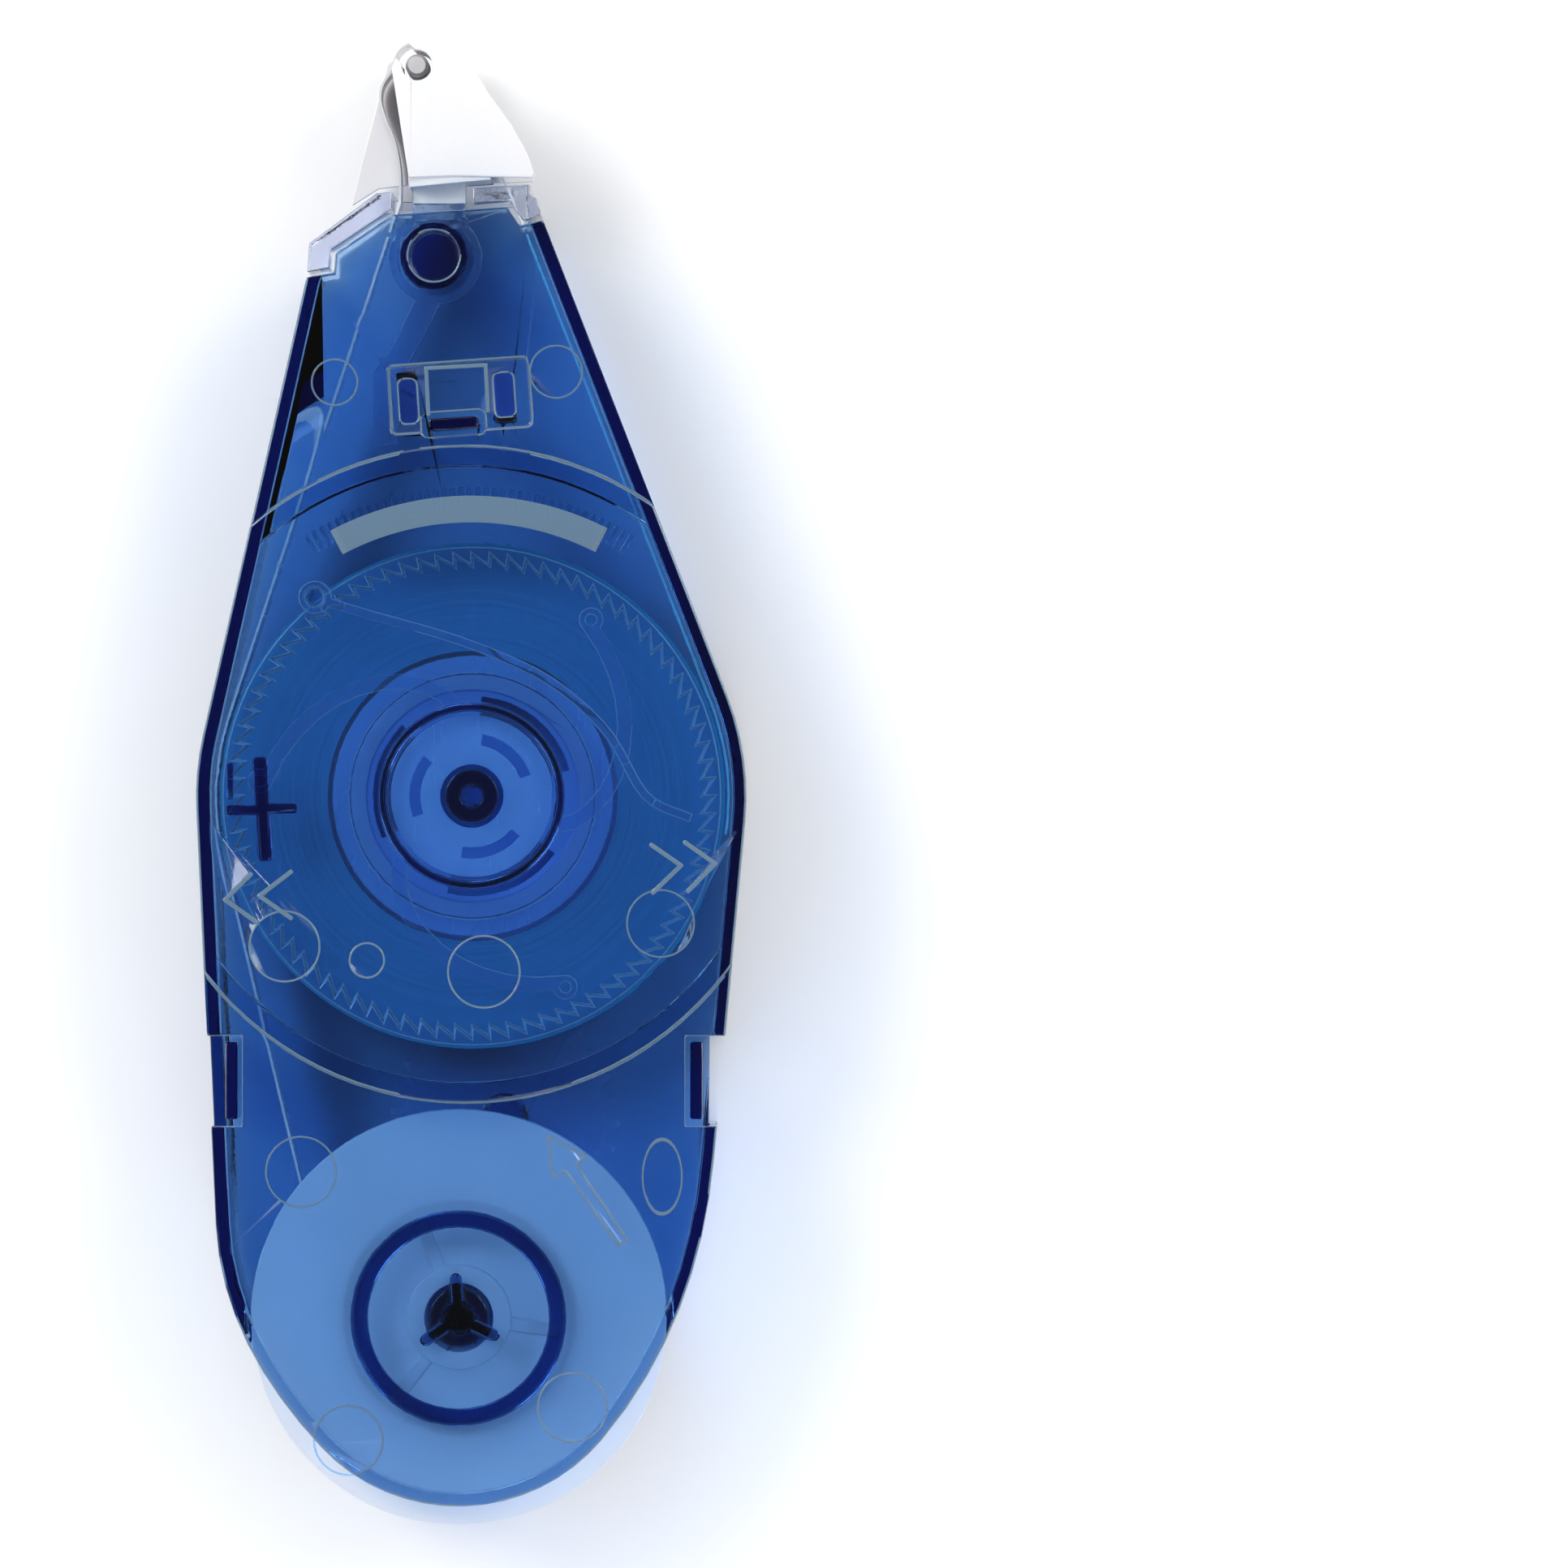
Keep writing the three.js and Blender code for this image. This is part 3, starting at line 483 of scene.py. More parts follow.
class Slot(Enum):
    """The record's material slots."""

    BLUE_SHELL = "blue_shell"
    CLEAR_GUIDE = "clear_guide"
    WHITE_HEAD = "white_head"
    GREY_ROLLER = "grey_roller"
    TAPE_WHITE = "tape_white"
    FILM_GREY = "film_grey"
    MILKY_INNER = "milky_inner"
    WHITE_SPOOL = "white_spool"


def new_material(name: str) -> tuple[bpy.types.Material, bpy.types.Node, bpy.types.Node]:
    """Start a node material.

    Args:
        name: Name of the material.

    Returns:
        The material, its Principled node and its output node.
    """
    material = bpy.data.materials.new(name)
    material.use_nodes = True
    nodes = material.node_tree.nodes
    surface = next(n for n in nodes if n.type == "BSDF_PRINCIPLED")
    output = next(n for n in nodes if n.type == "OUTPUT_MATERIAL")
    return material, surface, output


def add_bump(tree: bpy.types.NodeTree, surface: bpy.types.Node, height: bpy.types.NodeSocket,
             depth: float, strength: float = 0.4) -> None:
    """Feed a height into a surface's normal.

    Args:
        tree: The material's node tree.
        surface: The Principled node.
        height: Socket with the height, from 0 to 1.
        depth: Depth of the relief, in metres.
        strength: Share of the relief that shows.
    """
    bump = tree.nodes.new("ShaderNodeBump")
    bump.inputs["Distance"].default_value = depth
    bump.inputs["Strength"].default_value = strength
    tree.links.new(height, bump.inputs["Height"])
    tree.links.new(bump.outputs["Normal"], surface.inputs["Normal"])


@dataclass(frozen=True)
class TintedClear:
    """Clear moulded plastic that colours light by the depth it passes through.

    Attributes:
        name: Name of the material.
        passed: Colour that passes most easily.
        density: Absorption per metre of plastic.
        roughness: Lowest and highest surface roughness.
        depth: Depth of the moulded grain.
        marks: Amount of handling marks.
        clarity: Share of the light that passes; the rest is scattered at the surface.
        skin: Colour of the surface itself.
    """

    name: str
    passed: Colour
    density: float
    roughness: tuple[float, float] = (0.03, 0.16)
    depth: float = 0.00002
    marks: float = 0.8
    clarity: float = 1.0
    skin: Colour = (0.95, 0.975, 1.0)

    def make(self, effects: SharedEffects) -> bpy.types.Material:
        """Build the material.

        Args:
            effects: The shared node groups.

        Returns:
            The material.
        """
        material, surface, output = new_material(self.name)
        tree = material.node_tree
        grain = place_group(tree, effects.grain, Grain=1.0, Patches=0.8)
        marks = place_group(tree, effects.marks, Amount=self.marks)
        surface.inputs["Transmission Weight"].default_value = self.clarity
        surface.inputs["Metallic"].default_value = 0.0
        surface.inputs["IOR"].default_value = 1.5
        tint = two_tone(tree, grain.outputs["Mask"], self.skin, tuple(0.93 * c for c in self.skin))
        tree.links.new(tint, surface.inputs["Base Color"])
        rough = ranged(tree, marks.outputs["Mask"], *self.roughness)
        tree.links.new(rough, surface.inputs["Roughness"])
        add_bump(tree, surface, grain.outputs["Height"], self.depth, 0.15)
        path = tree.nodes.new("ShaderNodeLightPath")
        through = tree.nodes.new("ShaderNodeBsdfTransparent")
        through.inputs["Color"].default_value = (0.95, 0.97, 0.99, 1)
        mix = tree.nodes.new("ShaderNodeMixShader")
        tree.links.new(path.outputs["Is Shadow Ray"], mix.inputs[0])
        tree.links.new(surface.outputs[0], mix.inputs[1])
        tree.links.new(through.outputs[0], mix.inputs[2])
        tree.links.new(mix.outputs[0], output.inputs["Surface"])
        volume = tree.nodes.new("ShaderNodeVolumeAbsorption")
        volume.inputs["Color"].default_value = (*self.passed, 1)
        volume.inputs["Density"].default_value = self.density
        tree.links.new(volume.outputs[0], output.inputs["Volume"])
        return material


@dataclass(frozen=True)
class MouldedPlastic:
    """Opaque or milky moulded plastic with a fine grain and light rubbing.

    Attributes:
        name: Name of the material.
        light: Lighter colour of the patches.
        dark: Darker colour of the patches.
        roughness: Lowest and highest roughness.
        depth: Depth of the grain.
        marks: Amount of handling marks.
        milky: Share of the light that spreads under the surface.
    """

    name: str
    light: Colour
    dark: Colour
    roughness: tuple[float, float] = (0.3, 0.45)
    depth: float = 0.00003
    marks: float = 0.6
    milky: float = 0.0

    def make(self, effects: SharedEffects) -> bpy.types.Material:
        """Build the material.

        Args:
            effects: The shared node groups.

        Returns:
            The material.
        """
        material, surface, _ = new_material(self.name)
        tree = material.node_tree
        grain = place_group(tree, effects.grain, Grain=1.0, Patches=1.0)
        marks = place_group(tree, effects.marks, Amount=self.marks)
        colour = two_tone(tree, grain.outputs["Mask"], self.light, self.dark)
        tree.links.new(colour, surface.inputs["Base Color"])
        rough = ranged(tree, marks.outputs["Mask"], *self.roughness)
        tree.links.new(rough, surface.inputs["Roughness"])
        surface.inputs["Subsurface Weight"].default_value = self.milky
        surface.inputs["Subsurface Scale"].default_value = 0.0008
        add_bump(tree, surface, grain.outputs["Height"], self.depth, 0.3)
        return material


@dataclass(frozen=True)
class WoundTape:
    """The edge of a tightly wound roll: hundreds of fine rings about its axle.

    Attributes:
        name: Name of the material.
        light: Colour of the lighter turns.
        dark: Colour of the darker turns.
        axle: Place of the roll's axle.
        rings: Turns of visible detail per metre of radius.
    """

    name: str
    light: Colour
    dark: Colour
    axle: Point
    rings: float = 4200.0

    def make(self, effects: SharedEffects) -> bpy.types.Material:
        """Build the material.

        Args:
            effects: The shared node groups.

        Returns:
            The material.
        """
        material, surface, _ = new_material(self.name)
        tree = material.node_tree
        place = tree.nodes.new("ShaderNodeTexCoord")
        offset = tree.nodes.new("ShaderNodeVectorMath")
        offset.operation = "SUBTRACT"
        offset.inputs[1].default_value = (*self.axle, 0)
        flat = tree.nodes.new("ShaderNodeVectorMath")
        flat.operation = "MULTIPLY"
        flat.inputs[1].default_value = (1, 1, 0)
        radius = tree.nodes.new("ShaderNodeVectorMath")
        radius.operation = "LENGTH"
        turns = tree.nodes.new("ShaderNodeTexNoise")
        turns.noise_dimensions = "1D"
        turns.inputs["Scale"].default_value = self.rings
        turns.inputs["Detail"].default_value = 3.0
        tree.links.new(place.outputs["Object"], offset.inputs[0])
        tree.links.new(offset.outputs[0], flat.inputs[0])
        tree.links.new(flat.outputs[0], radius.inputs[0])
        tree.links.new(radius.outputs["Value"], turns.inputs["W"])
        grain = place_group(tree, effects.grain, Grain=1.0, Patches=1.0)
        colour = two_tone(tree, turns.outputs["Fac"], self.light, self.dark)
        tree.links.new(colour, surface.inputs["Base Color"])
        rough = ranged(tree, grain.outputs["Mask"], 0.45, 0.65)
        tree.links.new(rough, surface.inputs["Roughness"])
        add_bump(tree, surface, turns.outputs["Fac"], 0.00004, 0.5)
        return material


@dataclass(frozen=True)
class Finishes:
    """The finished materials, one for each slot and one for each wound roll."""

    by_slot: dict[Slot, bpy.types.Material]
    full_roll: bpy.types.Material
    film_roll: bpy.types.Material
    hub: bpy.types.Material
    pale_clear: bpy.types.Material
    painted_shade_rib: bpy.types.Material
    mark: bpy.types.Material
    painted_edge_highlight: bpy.types.Material

    @staticmethod
    def make(supply: Point, takeup: Point) -> "Finishes":
        """Build every material.

        Args:
            supply: Place of the supply reel's axle.
            takeup: Place of the take-up spool's axle.

        Returns:
            The finished set.
        """
        effects = SharedEffects()
        by_slot = {
            Slot.BLUE_SHELL: TintedClear("blue_clear_plastic", (0.22, 0.54, 0.80), 900.0),
            Slot.CLEAR_GUIDE: TintedClear("pale_guide_plastic", (0.84, 0.85, 0.93), 170.0),
            Slot.WHITE_HEAD: MouldedPlastic(
                "white_plastic", (0.83, 0.83, 0.845), (0.79, 0.79, 0.81), (0.28, 0.42), milky=0.15,
            ),
            Slot.GREY_ROLLER: MouldedPlastic(
                "grey_acetal", (0.52, 0.52, 0.54), (0.42, 0.42, 0.44), (0.35, 0.5),
            ),
            Slot.TAPE_WHITE: MouldedPlastic(
                "coated_tape", (0.24, 0.62, 0.74), (0.16, 0.5, 0.66), (0.4, 0.6), marks=0.9,
            ),
            Slot.FILM_GREY: MouldedPlastic(
                "release_film", (0.7, 0.7, 0.72), (0.6, 0.6, 0.62), (0.15, 0.35), marks=1.0,
            ),
            Slot.MILKY_INNER: TintedClear(
                "milky_plastic", (0.55, 0.72, 0.95), 160.0, (0.25, 0.4), clarity=0.45,
                skin=(0.42, 0.62, 0.88),
            ),
            Slot.WHITE_SPOOL: TintedClear(
                "white_spool_plastic", (0.85, 0.88, 0.95), 120.0, (0.3, 0.42), clarity=0.35,
                skin=(0.86, 0.88, 0.92),
            ),
        }
        return Finishes(
            by_slot={slot: finish.make(effects) for slot, finish in by_slot.items()},
            full_roll=WoundTape(
                "wound_tape", (0.02, 0.30, 0.46), (0.005, 0.15, 0.27), supply,
            ).make(effects),
            film_roll=WoundTape(
                "wound_film", (0.55, 0.6, 0.68), (0.3, 0.36, 0.46), takeup,
            ).make(effects),
            hub=TintedClear(
                "grained_hub_plastic", (0.5, 0.68, 0.94), 200.0, (0.35, 0.55), depth=0.00006,
                clarity=0.5, skin=(0.3, 0.5, 0.82),
            ).make(effects),
            # Painted shade: a darker skin on the star, the round ribs, the T rib, the latch pockets and
            # the rim arcs, standing in for the shade that their depth gives them.
            painted_shade_rib=TintedClear(
                "painted_shade_rib_plastic", (0.22, 0.54, 0.80), 900.0, (0.05, 0.15), skin=(0.42, 0.44, 0.85),
            ).make(effects),
            # Painted highlight: a lighter, partly scattering skin on the raised marks, the band round
            # the reel and the front cover's upper edges, so that they show as light lines.
            mark=TintedClear(
                "raised_mark_painted_highlight_plastic", (0.22, 0.54, 0.8), 900.0, (0.12, 0.22), clarity=0.72,
                skin=(0.4, 0.66, 0.95),
            ).make(effects),
            # Painted highlight on the rounded upper edges of the pale clear mouldings.
            painted_edge_highlight=TintedClear(
                "painted_edge_highlight_plastic", (0.62, 0.76, 0.95), 200.0, (0.15, 0.25), clarity=0.5,
                skin=(0.55, 0.78, 0.95),
            ).make(effects),
            pale_clear=TintedClear(
                "pale_clear_plastic", (0.62, 0.76, 0.95), 200.0, (0.04, 0.12), clarity=0.97,
                skin=(0.7, 0.86, 1.0),
            ).make(effects),
        )


# ---- Sub-assemblies ----


RECORD = frame["record"]
NODE_SLOTS = {part["node"]: part["material_slot"] for part in RECORD["subparts"]}
NODE_BODIES = {
    node: body for body, nodes in RECORD["behaviour"]["bodies"].items() for node in nodes
}


def stand_in(piece: bpy.types.Object, node: str, finishes: Finishes,
             material: bpy.types.Material | None = None) -> bpy.types.Object:
    """Give a piece its finish and let it stand for a CAD node.

    Args:
        piece: The finished shape.
        node: The CAD node that it replaces.
        finishes: The material set.
        material: A finish of its own; left out, the slot's finish is used.

    Returns:
        The same piece, riding with the node's body.
    """
    slot = Slot(NODE_SLOTS[node])
    if not piece.data.materials:
        piece.data.materials.append(material or finishes.by_slot[slot])
    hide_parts(node)
    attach(piece, NODE_BODIES[node])
    log.info("%s: %d faces", piece.name, len(piece.data.polygons))
    return piece


def paint_edge_highlights(piece: bpy.types.Object, index: int, lowest: float = 0.0) -> None:
    """Paint a lighter finish on a piece's rounded upper edges, as a painted highlight.

    Args:
        piece: The piece, already rounded.
        index: Place of the finish in the piece's materials.
        lowest: Height below which edges are left as they are.
    """
    for face in piece.data.polygons:
        if 0.2 < face.normal.z < 0.93 and face.center.z > lowest:
            face.material_index = index


def clear_piece(node: str, edge: float, finishes: Finishes) -> bpy.types.Object:
    """Make a pale clear moulding whose rounded edges carry a painted highlight.

    Args:
        node: The CAD node that it stands for.
        edge: Rounding of its edges.
        finishes: The material set.

    Returns:
        The piece, riding with the node's body.
    """
    piece = soften(copy_of_node(node, node + "_moulding"), edge)
    piece.data.materials.append(finishes.pale_clear)
    piece.data.materials.append(finishes.painted_edge_highlight)
    paint_edge_highlights(piece, 1)
    return stand_in(piece, node, finishes)


def moulding(node: str, edge: float, finishes: Finishes,
             material: bpy.types.Material | None = None) -> None:
    """Make a moulding from its CAD node's shape, with rounded edges.

    Args:
        node: The CAD node that it stands for.
        edge: Rounding of its edges.
        finishes: The material set.
        material: A finish of its own; left out, the slot's finish is used.
    """
    piece = soften(copy_of_node(node, node + "_moulding"), edge)
    stand_in(piece, node, finishes, material)


def weld(piece: bpy.types.Object, details: list[bpy.types.Object]) -> bpy.types.Object:
    """Unite small closed details with a piece, as one moulding.

    Args:
        piece: The piece that stays.
        details: Closed shapes that dip into the piece; they are used up.

    Returns:
        The piece.
    """
    tool = join(details, "details")
    apply_modifier(piece, "BOOLEAN", operation="UNION", solver="EXACT", object=tool, use_self=True)
    bpy.data.objects.remove(tool, do_unlink=True)
    return piece


@dataclass
class Case:
    """The two clear covers with their moulded marks and inner ribs.

    Attributes:
        finishes: The material set.
        edge: Rounding of the covers' edges.
        line: Width of the fine moulded lines.
        lift: Height of the raised marks.
        painted_shade_ribs: Number of inner ribs with the painted-shade finish.
        pockets: Heights of the latch pockets' underside and top.
        rims, ribs, ridges: The same two heights of the painted rim shade arcs, T rib and fine ridges.
        star_zone, supply_zone: Heights that bound the painted shade on the star and the supply reel's
            round rib.
    """

    finishes: Finishes
    edge: float = 0.00014
    line: float = 0.00013
    lift: float = 0.0003
    painted_shade_ribs: int = 8
    pockets: Point = (0.0112, 0.01175)
    rims: Point = (0.0118, 0.0127)
    ribs: Point = (0.0115, 0.0125)
    ridges: Point = (0.0119, 0.0126)
    star_zone: Point = (0.0105, 0.01155)
    supply_zone: Point = (0.0114, 0.01235)

    def top_at(self, x: float, y: float) -> float:
        """Find the height of the front cover's outer face.

        Args:
            x: Place across, in metres.
            y: Place along, in metres.

        Returns:
            Height of the face there.
        """
        cover = frame["nodes"]["front_cover"]
        hit, place, _, _ = cover.ray_cast(Vector((x, y, 0.05)), Vector((0, 0, -1)))
        return place.z if hit else CAD_BOX[1].z

    def raised_bar(self, start: Point, end: Point, width: float) -> bpy.types.Object:
        """Make a raised bar on the front cover's outer face.

        Args:
            start: One end, in millimetres from the supply axle.
            end: The other end.
            width: Width of the bar, in metres.

        Returns:
            The bar, sunk a little into the cover.
        """
        first, last = self.at(*start), self.at(*end)
        top = self.top_at((first[0] + last[0]) / 2, (first[1] + last[1]) / 2)
        return bar(first, last, width, top - self.lift, top + self.lift)

    def at(self, x: float, y: float) -> Point:
        """Turn millimetres from the supply axle into a point of the row frame.

        Args:
            x: Place across, from the axle.
            y: Place along, from the axle.

        Returns:
            The point, in metres.
        """
        axle = centre_of("core_ring")
        return axle.x + x * MM, axle.y + y * MM

    def chevrons(self) -> list[bpy.types.Object]:
        """Make the two pairs of direction chevrons.

        Returns:
            Their bars.
        """
        left = [((-14.05, -4.99), (-15.67, -6.61), (-13.69, -8.02)),
                ((-11.5, -4.84), (-13.48, -6.35), (-11.5, -7.76))]
        right = [((11.5, -3.12), (13.37, -4.42), (11.6, -6.14)),
                 ((13.64, -2.96), (15.56, -4.31), (13.84, -6.03))]
        made = []
        for first, tip, last in left + right:
            made += [self.raised_bar(tip, end, 0.0003) for end in (first, last)]
        return made

    def turn_arrow(self) -> list[bpy.types.Object]:
        """Make the outlined arrow that shows which way the wheel is turned.

        Returns:
            Its bars.
        """
        route = [(6.0, -23.9), (6.8, -25.0), (7.7, -26.3), (8.6, -27.6), (9.4, -28.7)]
        other = [(6.7, -23.5), (7.4, -24.6), (8.3, -25.9), (9.2, -27.2), (9.9, -28.3)]
        lines = list(zip(route, route[1:])) + list(zip(other, other[1:]))
        lines += [(route[-1], other[-1]), (route[0], (5.2, -24.3)), (other[0], (7.3, -23.0)),
                  ((5.2, -24.3), (4.9, -21.7)), ((4.9, -21.7), (7.3, -23.0))]
        return [self.raised_bar(a, b, 0.00016) for a, b in lines]

    def fine_circles(self) -> list[bpy.types.Object]:
        """Make the fine circles that the mould's pins leave, and the blank oval.

        Returns:
            Their thin rings.
        """
        places = [((-8.73, 26.4), 1.46), ((5.4, 27.07), 1.67), ((0.81, -11.2), 2.29),
                  ((-6.65, -10.47), 1.1), ((-11.9, -9.58), 2.24), ((12.07, -8.12), 2.14),
                  ((-10.87, -23.97), 2.24), ((-7.85, -41.1), 2.2), ((6.44, -39.0), 2.2)]
        made = []
        for centre, radius in places:
            middle = self.at(*centre)
            made.append(circle_line(middle, radius * MM, self.top_at(*middle), self.line))
        middle = self.at(12.17, -24.28)
        oval = circle_line((0.0, 0.0), 0.00125, self.top_at(*middle), self.line)
        oval.scale.y = 1.9
        oval.location = (middle[0], middle[1], 0)
        made.append(settle(oval))
        return made

    def inner_ribs(self) -> list[bpy.types.Object]:
        """Make the T rib and the row of fine ridges that hang under the front cover.

        Returns:
            The rib's four bars, then the ridges.
        """
        low, high = self.ribs
        ribs = [((-13.48, 2.05), (-13.17, -3.69), 1.0), ((-13.2, -0.8), (-11.5, -0.8), 0.7),
                ((-13.4, -0.9), (-15.3, -0.9), 0.7), ((-15.4, 0.0), (-15.4, 1.9), 0.4)]
        made = [bar(self.at(*a), self.at(*b), width * MM, low, high) for a, b, width in ribs]
        low, high = self.ridges
        middle, inside, outside, ridge_width, gaps = (-0.13, 0.64), 17.9, 18.9, 0.00034, 40
        for step in range(gaps + 1):
            turn = math.radians(57 + 66 * step / gaps)
            ends = [
                self.at(middle[0] + radius * math.cos(turn), middle[1] + radius * math.sin(turn))
                for radius in (inside, outside)
            ]
            made.append(bar(ends[0], ends[1], ridge_width, low, high))
        return made

    def paint_rib_shade(self, cover: bpy.types.Object) -> None:
        """Paint shade on the star and the two round ribs: their faces get the darker painted-shade
        finish.

        Args:
            cover: The front cover, with the painted-shade finish as its second material.
        """
        takeup, supply = centre_of("takeup_spool").to_2d(), centre_of("core_ring").to_2d()
        zones = (
            (takeup, 0.0, 0.0034, self.star_zone), (takeup, 0.0056, 0.0071, self.star_zone),
            (supply, 0.0053, 0.0061, self.supply_zone),
        )
        mesh = cover.data
        for face in mesh.polygons:
            corners = [mesh.vertices[index].co.to_2d() for index in face.vertices]
            for centre, nearest, farthest, (low, high) in zones:
                spans = [(corner - centre).length for corner in corners]
                inside = nearest <= min(spans) and max(spans) <= farthest
                if inside and low < face.center.z < high:
                    face.material_index = 1

    def latch_pockets(self) -> list[bpy.types.Object]:
        """Make the two pockets that close the latch's windows from below; their dark finish is painted
        shade.

        Returns:
            The two pockets.
        """
        low, high = self.pockets
        return [
            bar(self.at(x, 24.5), self.at(x + shift, 26.4), 0.0015, low, high)
            for x, shift in ((-4.0, -0.13), (2.15, -0.13))
        ]

    def latch_clip(self) -> list[bpy.types.Object]:
        """Make the raised edges of the clip between the latch's windows.

        Returns:
            The three bars.
        """
        return [
            self.raised_bar((-2.75, 24.4), (-2.9, 27.3), 0.00026),
            self.raised_bar((1.05, 24.6), (0.9, 27.5), 0.00026),
            self.raised_bar((-2.9, 27.3), (0.9, 27.5), 0.00026),
        ]

    def painted_highlight_band(self) -> bpy.types.Object:
        """Make the low swell that runs round the top of the reel, finished lighter as a painted
        highlight band.

        Returns:
            The curved bar.
        """
        middle = Vector((*self.at(0.0, 0.0), 0))
        top = self.top_at(middle.x, middle.y + 0.0183)
        return swept_bar(middle, 0.0183, 0.0017, (63, 118), top - self.lift, top + 0.0001, 40)

    def rim_shade_arcs(self) -> list[bpy.types.Object]:
        """Make the two arcs under the raised round's rim, finished dark as painted shade of its tall
        step wall.

        Returns:
            The upper arc and the lower one.
        """
        middle = Vector((*self.at(-0.4, 1.4), 0))
        low, high = self.rims
        return [
            swept_bar(middle, 0.0201, 0.0009, (61, 124), low, high, 40),
            swept_bar(middle, 0.0203, 0.0005, (222, 318), low, high, 40),
        ]

    def build(self) -> None:
        """Make both covers."""
        front = soften(copy_of_node("front_cover", "front_cover_moulding"), self.edge)
        front.data.materials.append(self.finishes.by_slot[Slot.BLUE_SHELL])
        front.data.materials.append(self.finishes.painted_shade_rib)
        self.paint_rib_shade(front)
        front.data.materials.append(self.finishes.mark)
        # The front cover's rounded upper edges get the painted-highlight finish.
        paint_edge_highlights(front, 2, lowest=0.0118)
        marks = self.chevrons() + self.turn_arrow() + self.fine_circles() + self.latch_clip()
        marks.append(self.painted_highlight_band())
        # The marks and the band get the painted-highlight finish.
        for mark in marks:
            mark.data.materials.append(self.finishes.mark)
        ribs = self.latch_pockets() + self.rim_shade_arcs() + self.inner_ribs()
        # The latch pockets, the rim arcs and the T rib's bars get the painted-shade finish; the fine
        # ridges keep the blue shell.
        for index, rib in enumerate(ribs):
            painted_dark = index < self.painted_shade_ribs
            rib.data.materials.append(
                self.finishes.painted_shade_rib if painted_dark else self.finishes.by_slot[Slot.BLUE_SHELL]
            )
        weld(front, marks + ribs)
        soften(front, 0)
        stand_in(front, "front_cover", self.finishes)
        moulding("back_cover", self.edge, self.finishes)


@dataclass
class Neck:
    """The clear mouth piece between the case and the head.

    Attributes:
        finishes: The material set.
        edge: Rounding of its edges.
    """

    finishes: Finishes
    edge: float = 0.00014

    def build(self) -> None:
        """Make the guide."""
        moulding("neck_guide", self.edge, self.finishes)


@dataclass
class Head:
    """The white head frame and its small roller.

    Attributes:
        finishes: The material set.
        edge: Rounding of the frame's edges.
    """

    finishes: Finishes
    edge: float = 0.0001

    def build(self) -> None:
        """Make the frame and the roller."""
        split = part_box("front_cover")[1].y + 0.0004
        head = self.cut(copy_of_node("head_frame", "head_frame_moulding"), split, keep_above=True)
        stand_in(soften(head, self.edge), "head_frame", self.finishes)
        eye = self.cut(copy_of_node("head_frame", "head_eye_and_spring"), split, keep_above=False)
        stand_in(soften(eye, self.edge), "head_frame", self.finishes, self.finishes.pale_clear)
        low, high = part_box("tip_roller")
        middle = (low + high) / 2
        self.roller(middle, low.z, high.z)

    @staticmethod
    def cut(piece: bpy.types.Object, y: float, keep_above: bool) -> bpy.types.Object:
        """Bisect a piece across its length and close the cut.

        Args:
            piece: The piece.
            y: Place of the cut.
            keep_above: Whether the part beyond the cut stays.

        Returns:
            The part that stays, 0.01 mm short of the cut.
        """
        edge = y + 0.00001 if keep_above else y - 0.00001
        pick(piece)
        bpy.ops.object.mode_set(mode="EDIT")
        bpy.ops.mesh.select_all(action="SELECT")
        bpy.ops.mesh.bisect(
            plane_co=(0, edge, 0), plane_no=(0, 1, 0), use_fill=True,
            clear_inner=keep_above, clear_outer=not keep_above,
        )
        bpy.ops.object.mode_set(mode="OBJECT")
        return piece

    def roller(self, middle: Vector, low: float, high: float) -> None:
        """Turn the roller from a cylinder, with a thinner journal at each end.

        Args:
            middle: Centre of the roller.
            low: Height of its lower journal's end.
            high: Height of its upper journal's end.
        """
        half = (high - low) / 2
        journal, radius = 0.00125, 0.00075
        body_half = half - journal
        deselect_all()
        bpy.ops.mesh.primitive_cylinder_add(
            vertices=64, radius=radius, depth=2 * body_half, location=middle,
        )
        piece = bpy.context.object
        piece.name = "tip_roller_turned"
        settle(piece)
        bpy.ops.object.mode_set(mode="EDIT")
        bpy.ops.mesh.select_mode(type="FACE")
        bpy.ops.mesh.select_all(action="DESELECT")
        bpy.ops.object.mode_set(mode="OBJECT")
        for sign in (1, -1):
            for face in piece.data.polygons:
                face.select = face.normal.z * sign > 0.9
            bpy.ops.object.mode_set(mode="EDIT")
            bpy.ops.mesh.inset(thickness=0.0002, depth=0)
            bpy.ops.mesh.extrude_region_move(
                TRANSFORM_OT_translate={"value": (0, 0, sign * (half - body_half))},
            )
            bpy.ops.object.mode_set(mode="OBJECT")
        soften(piece, 0.00006)
        stand_in(piece, "tip_roller", self.finishes)


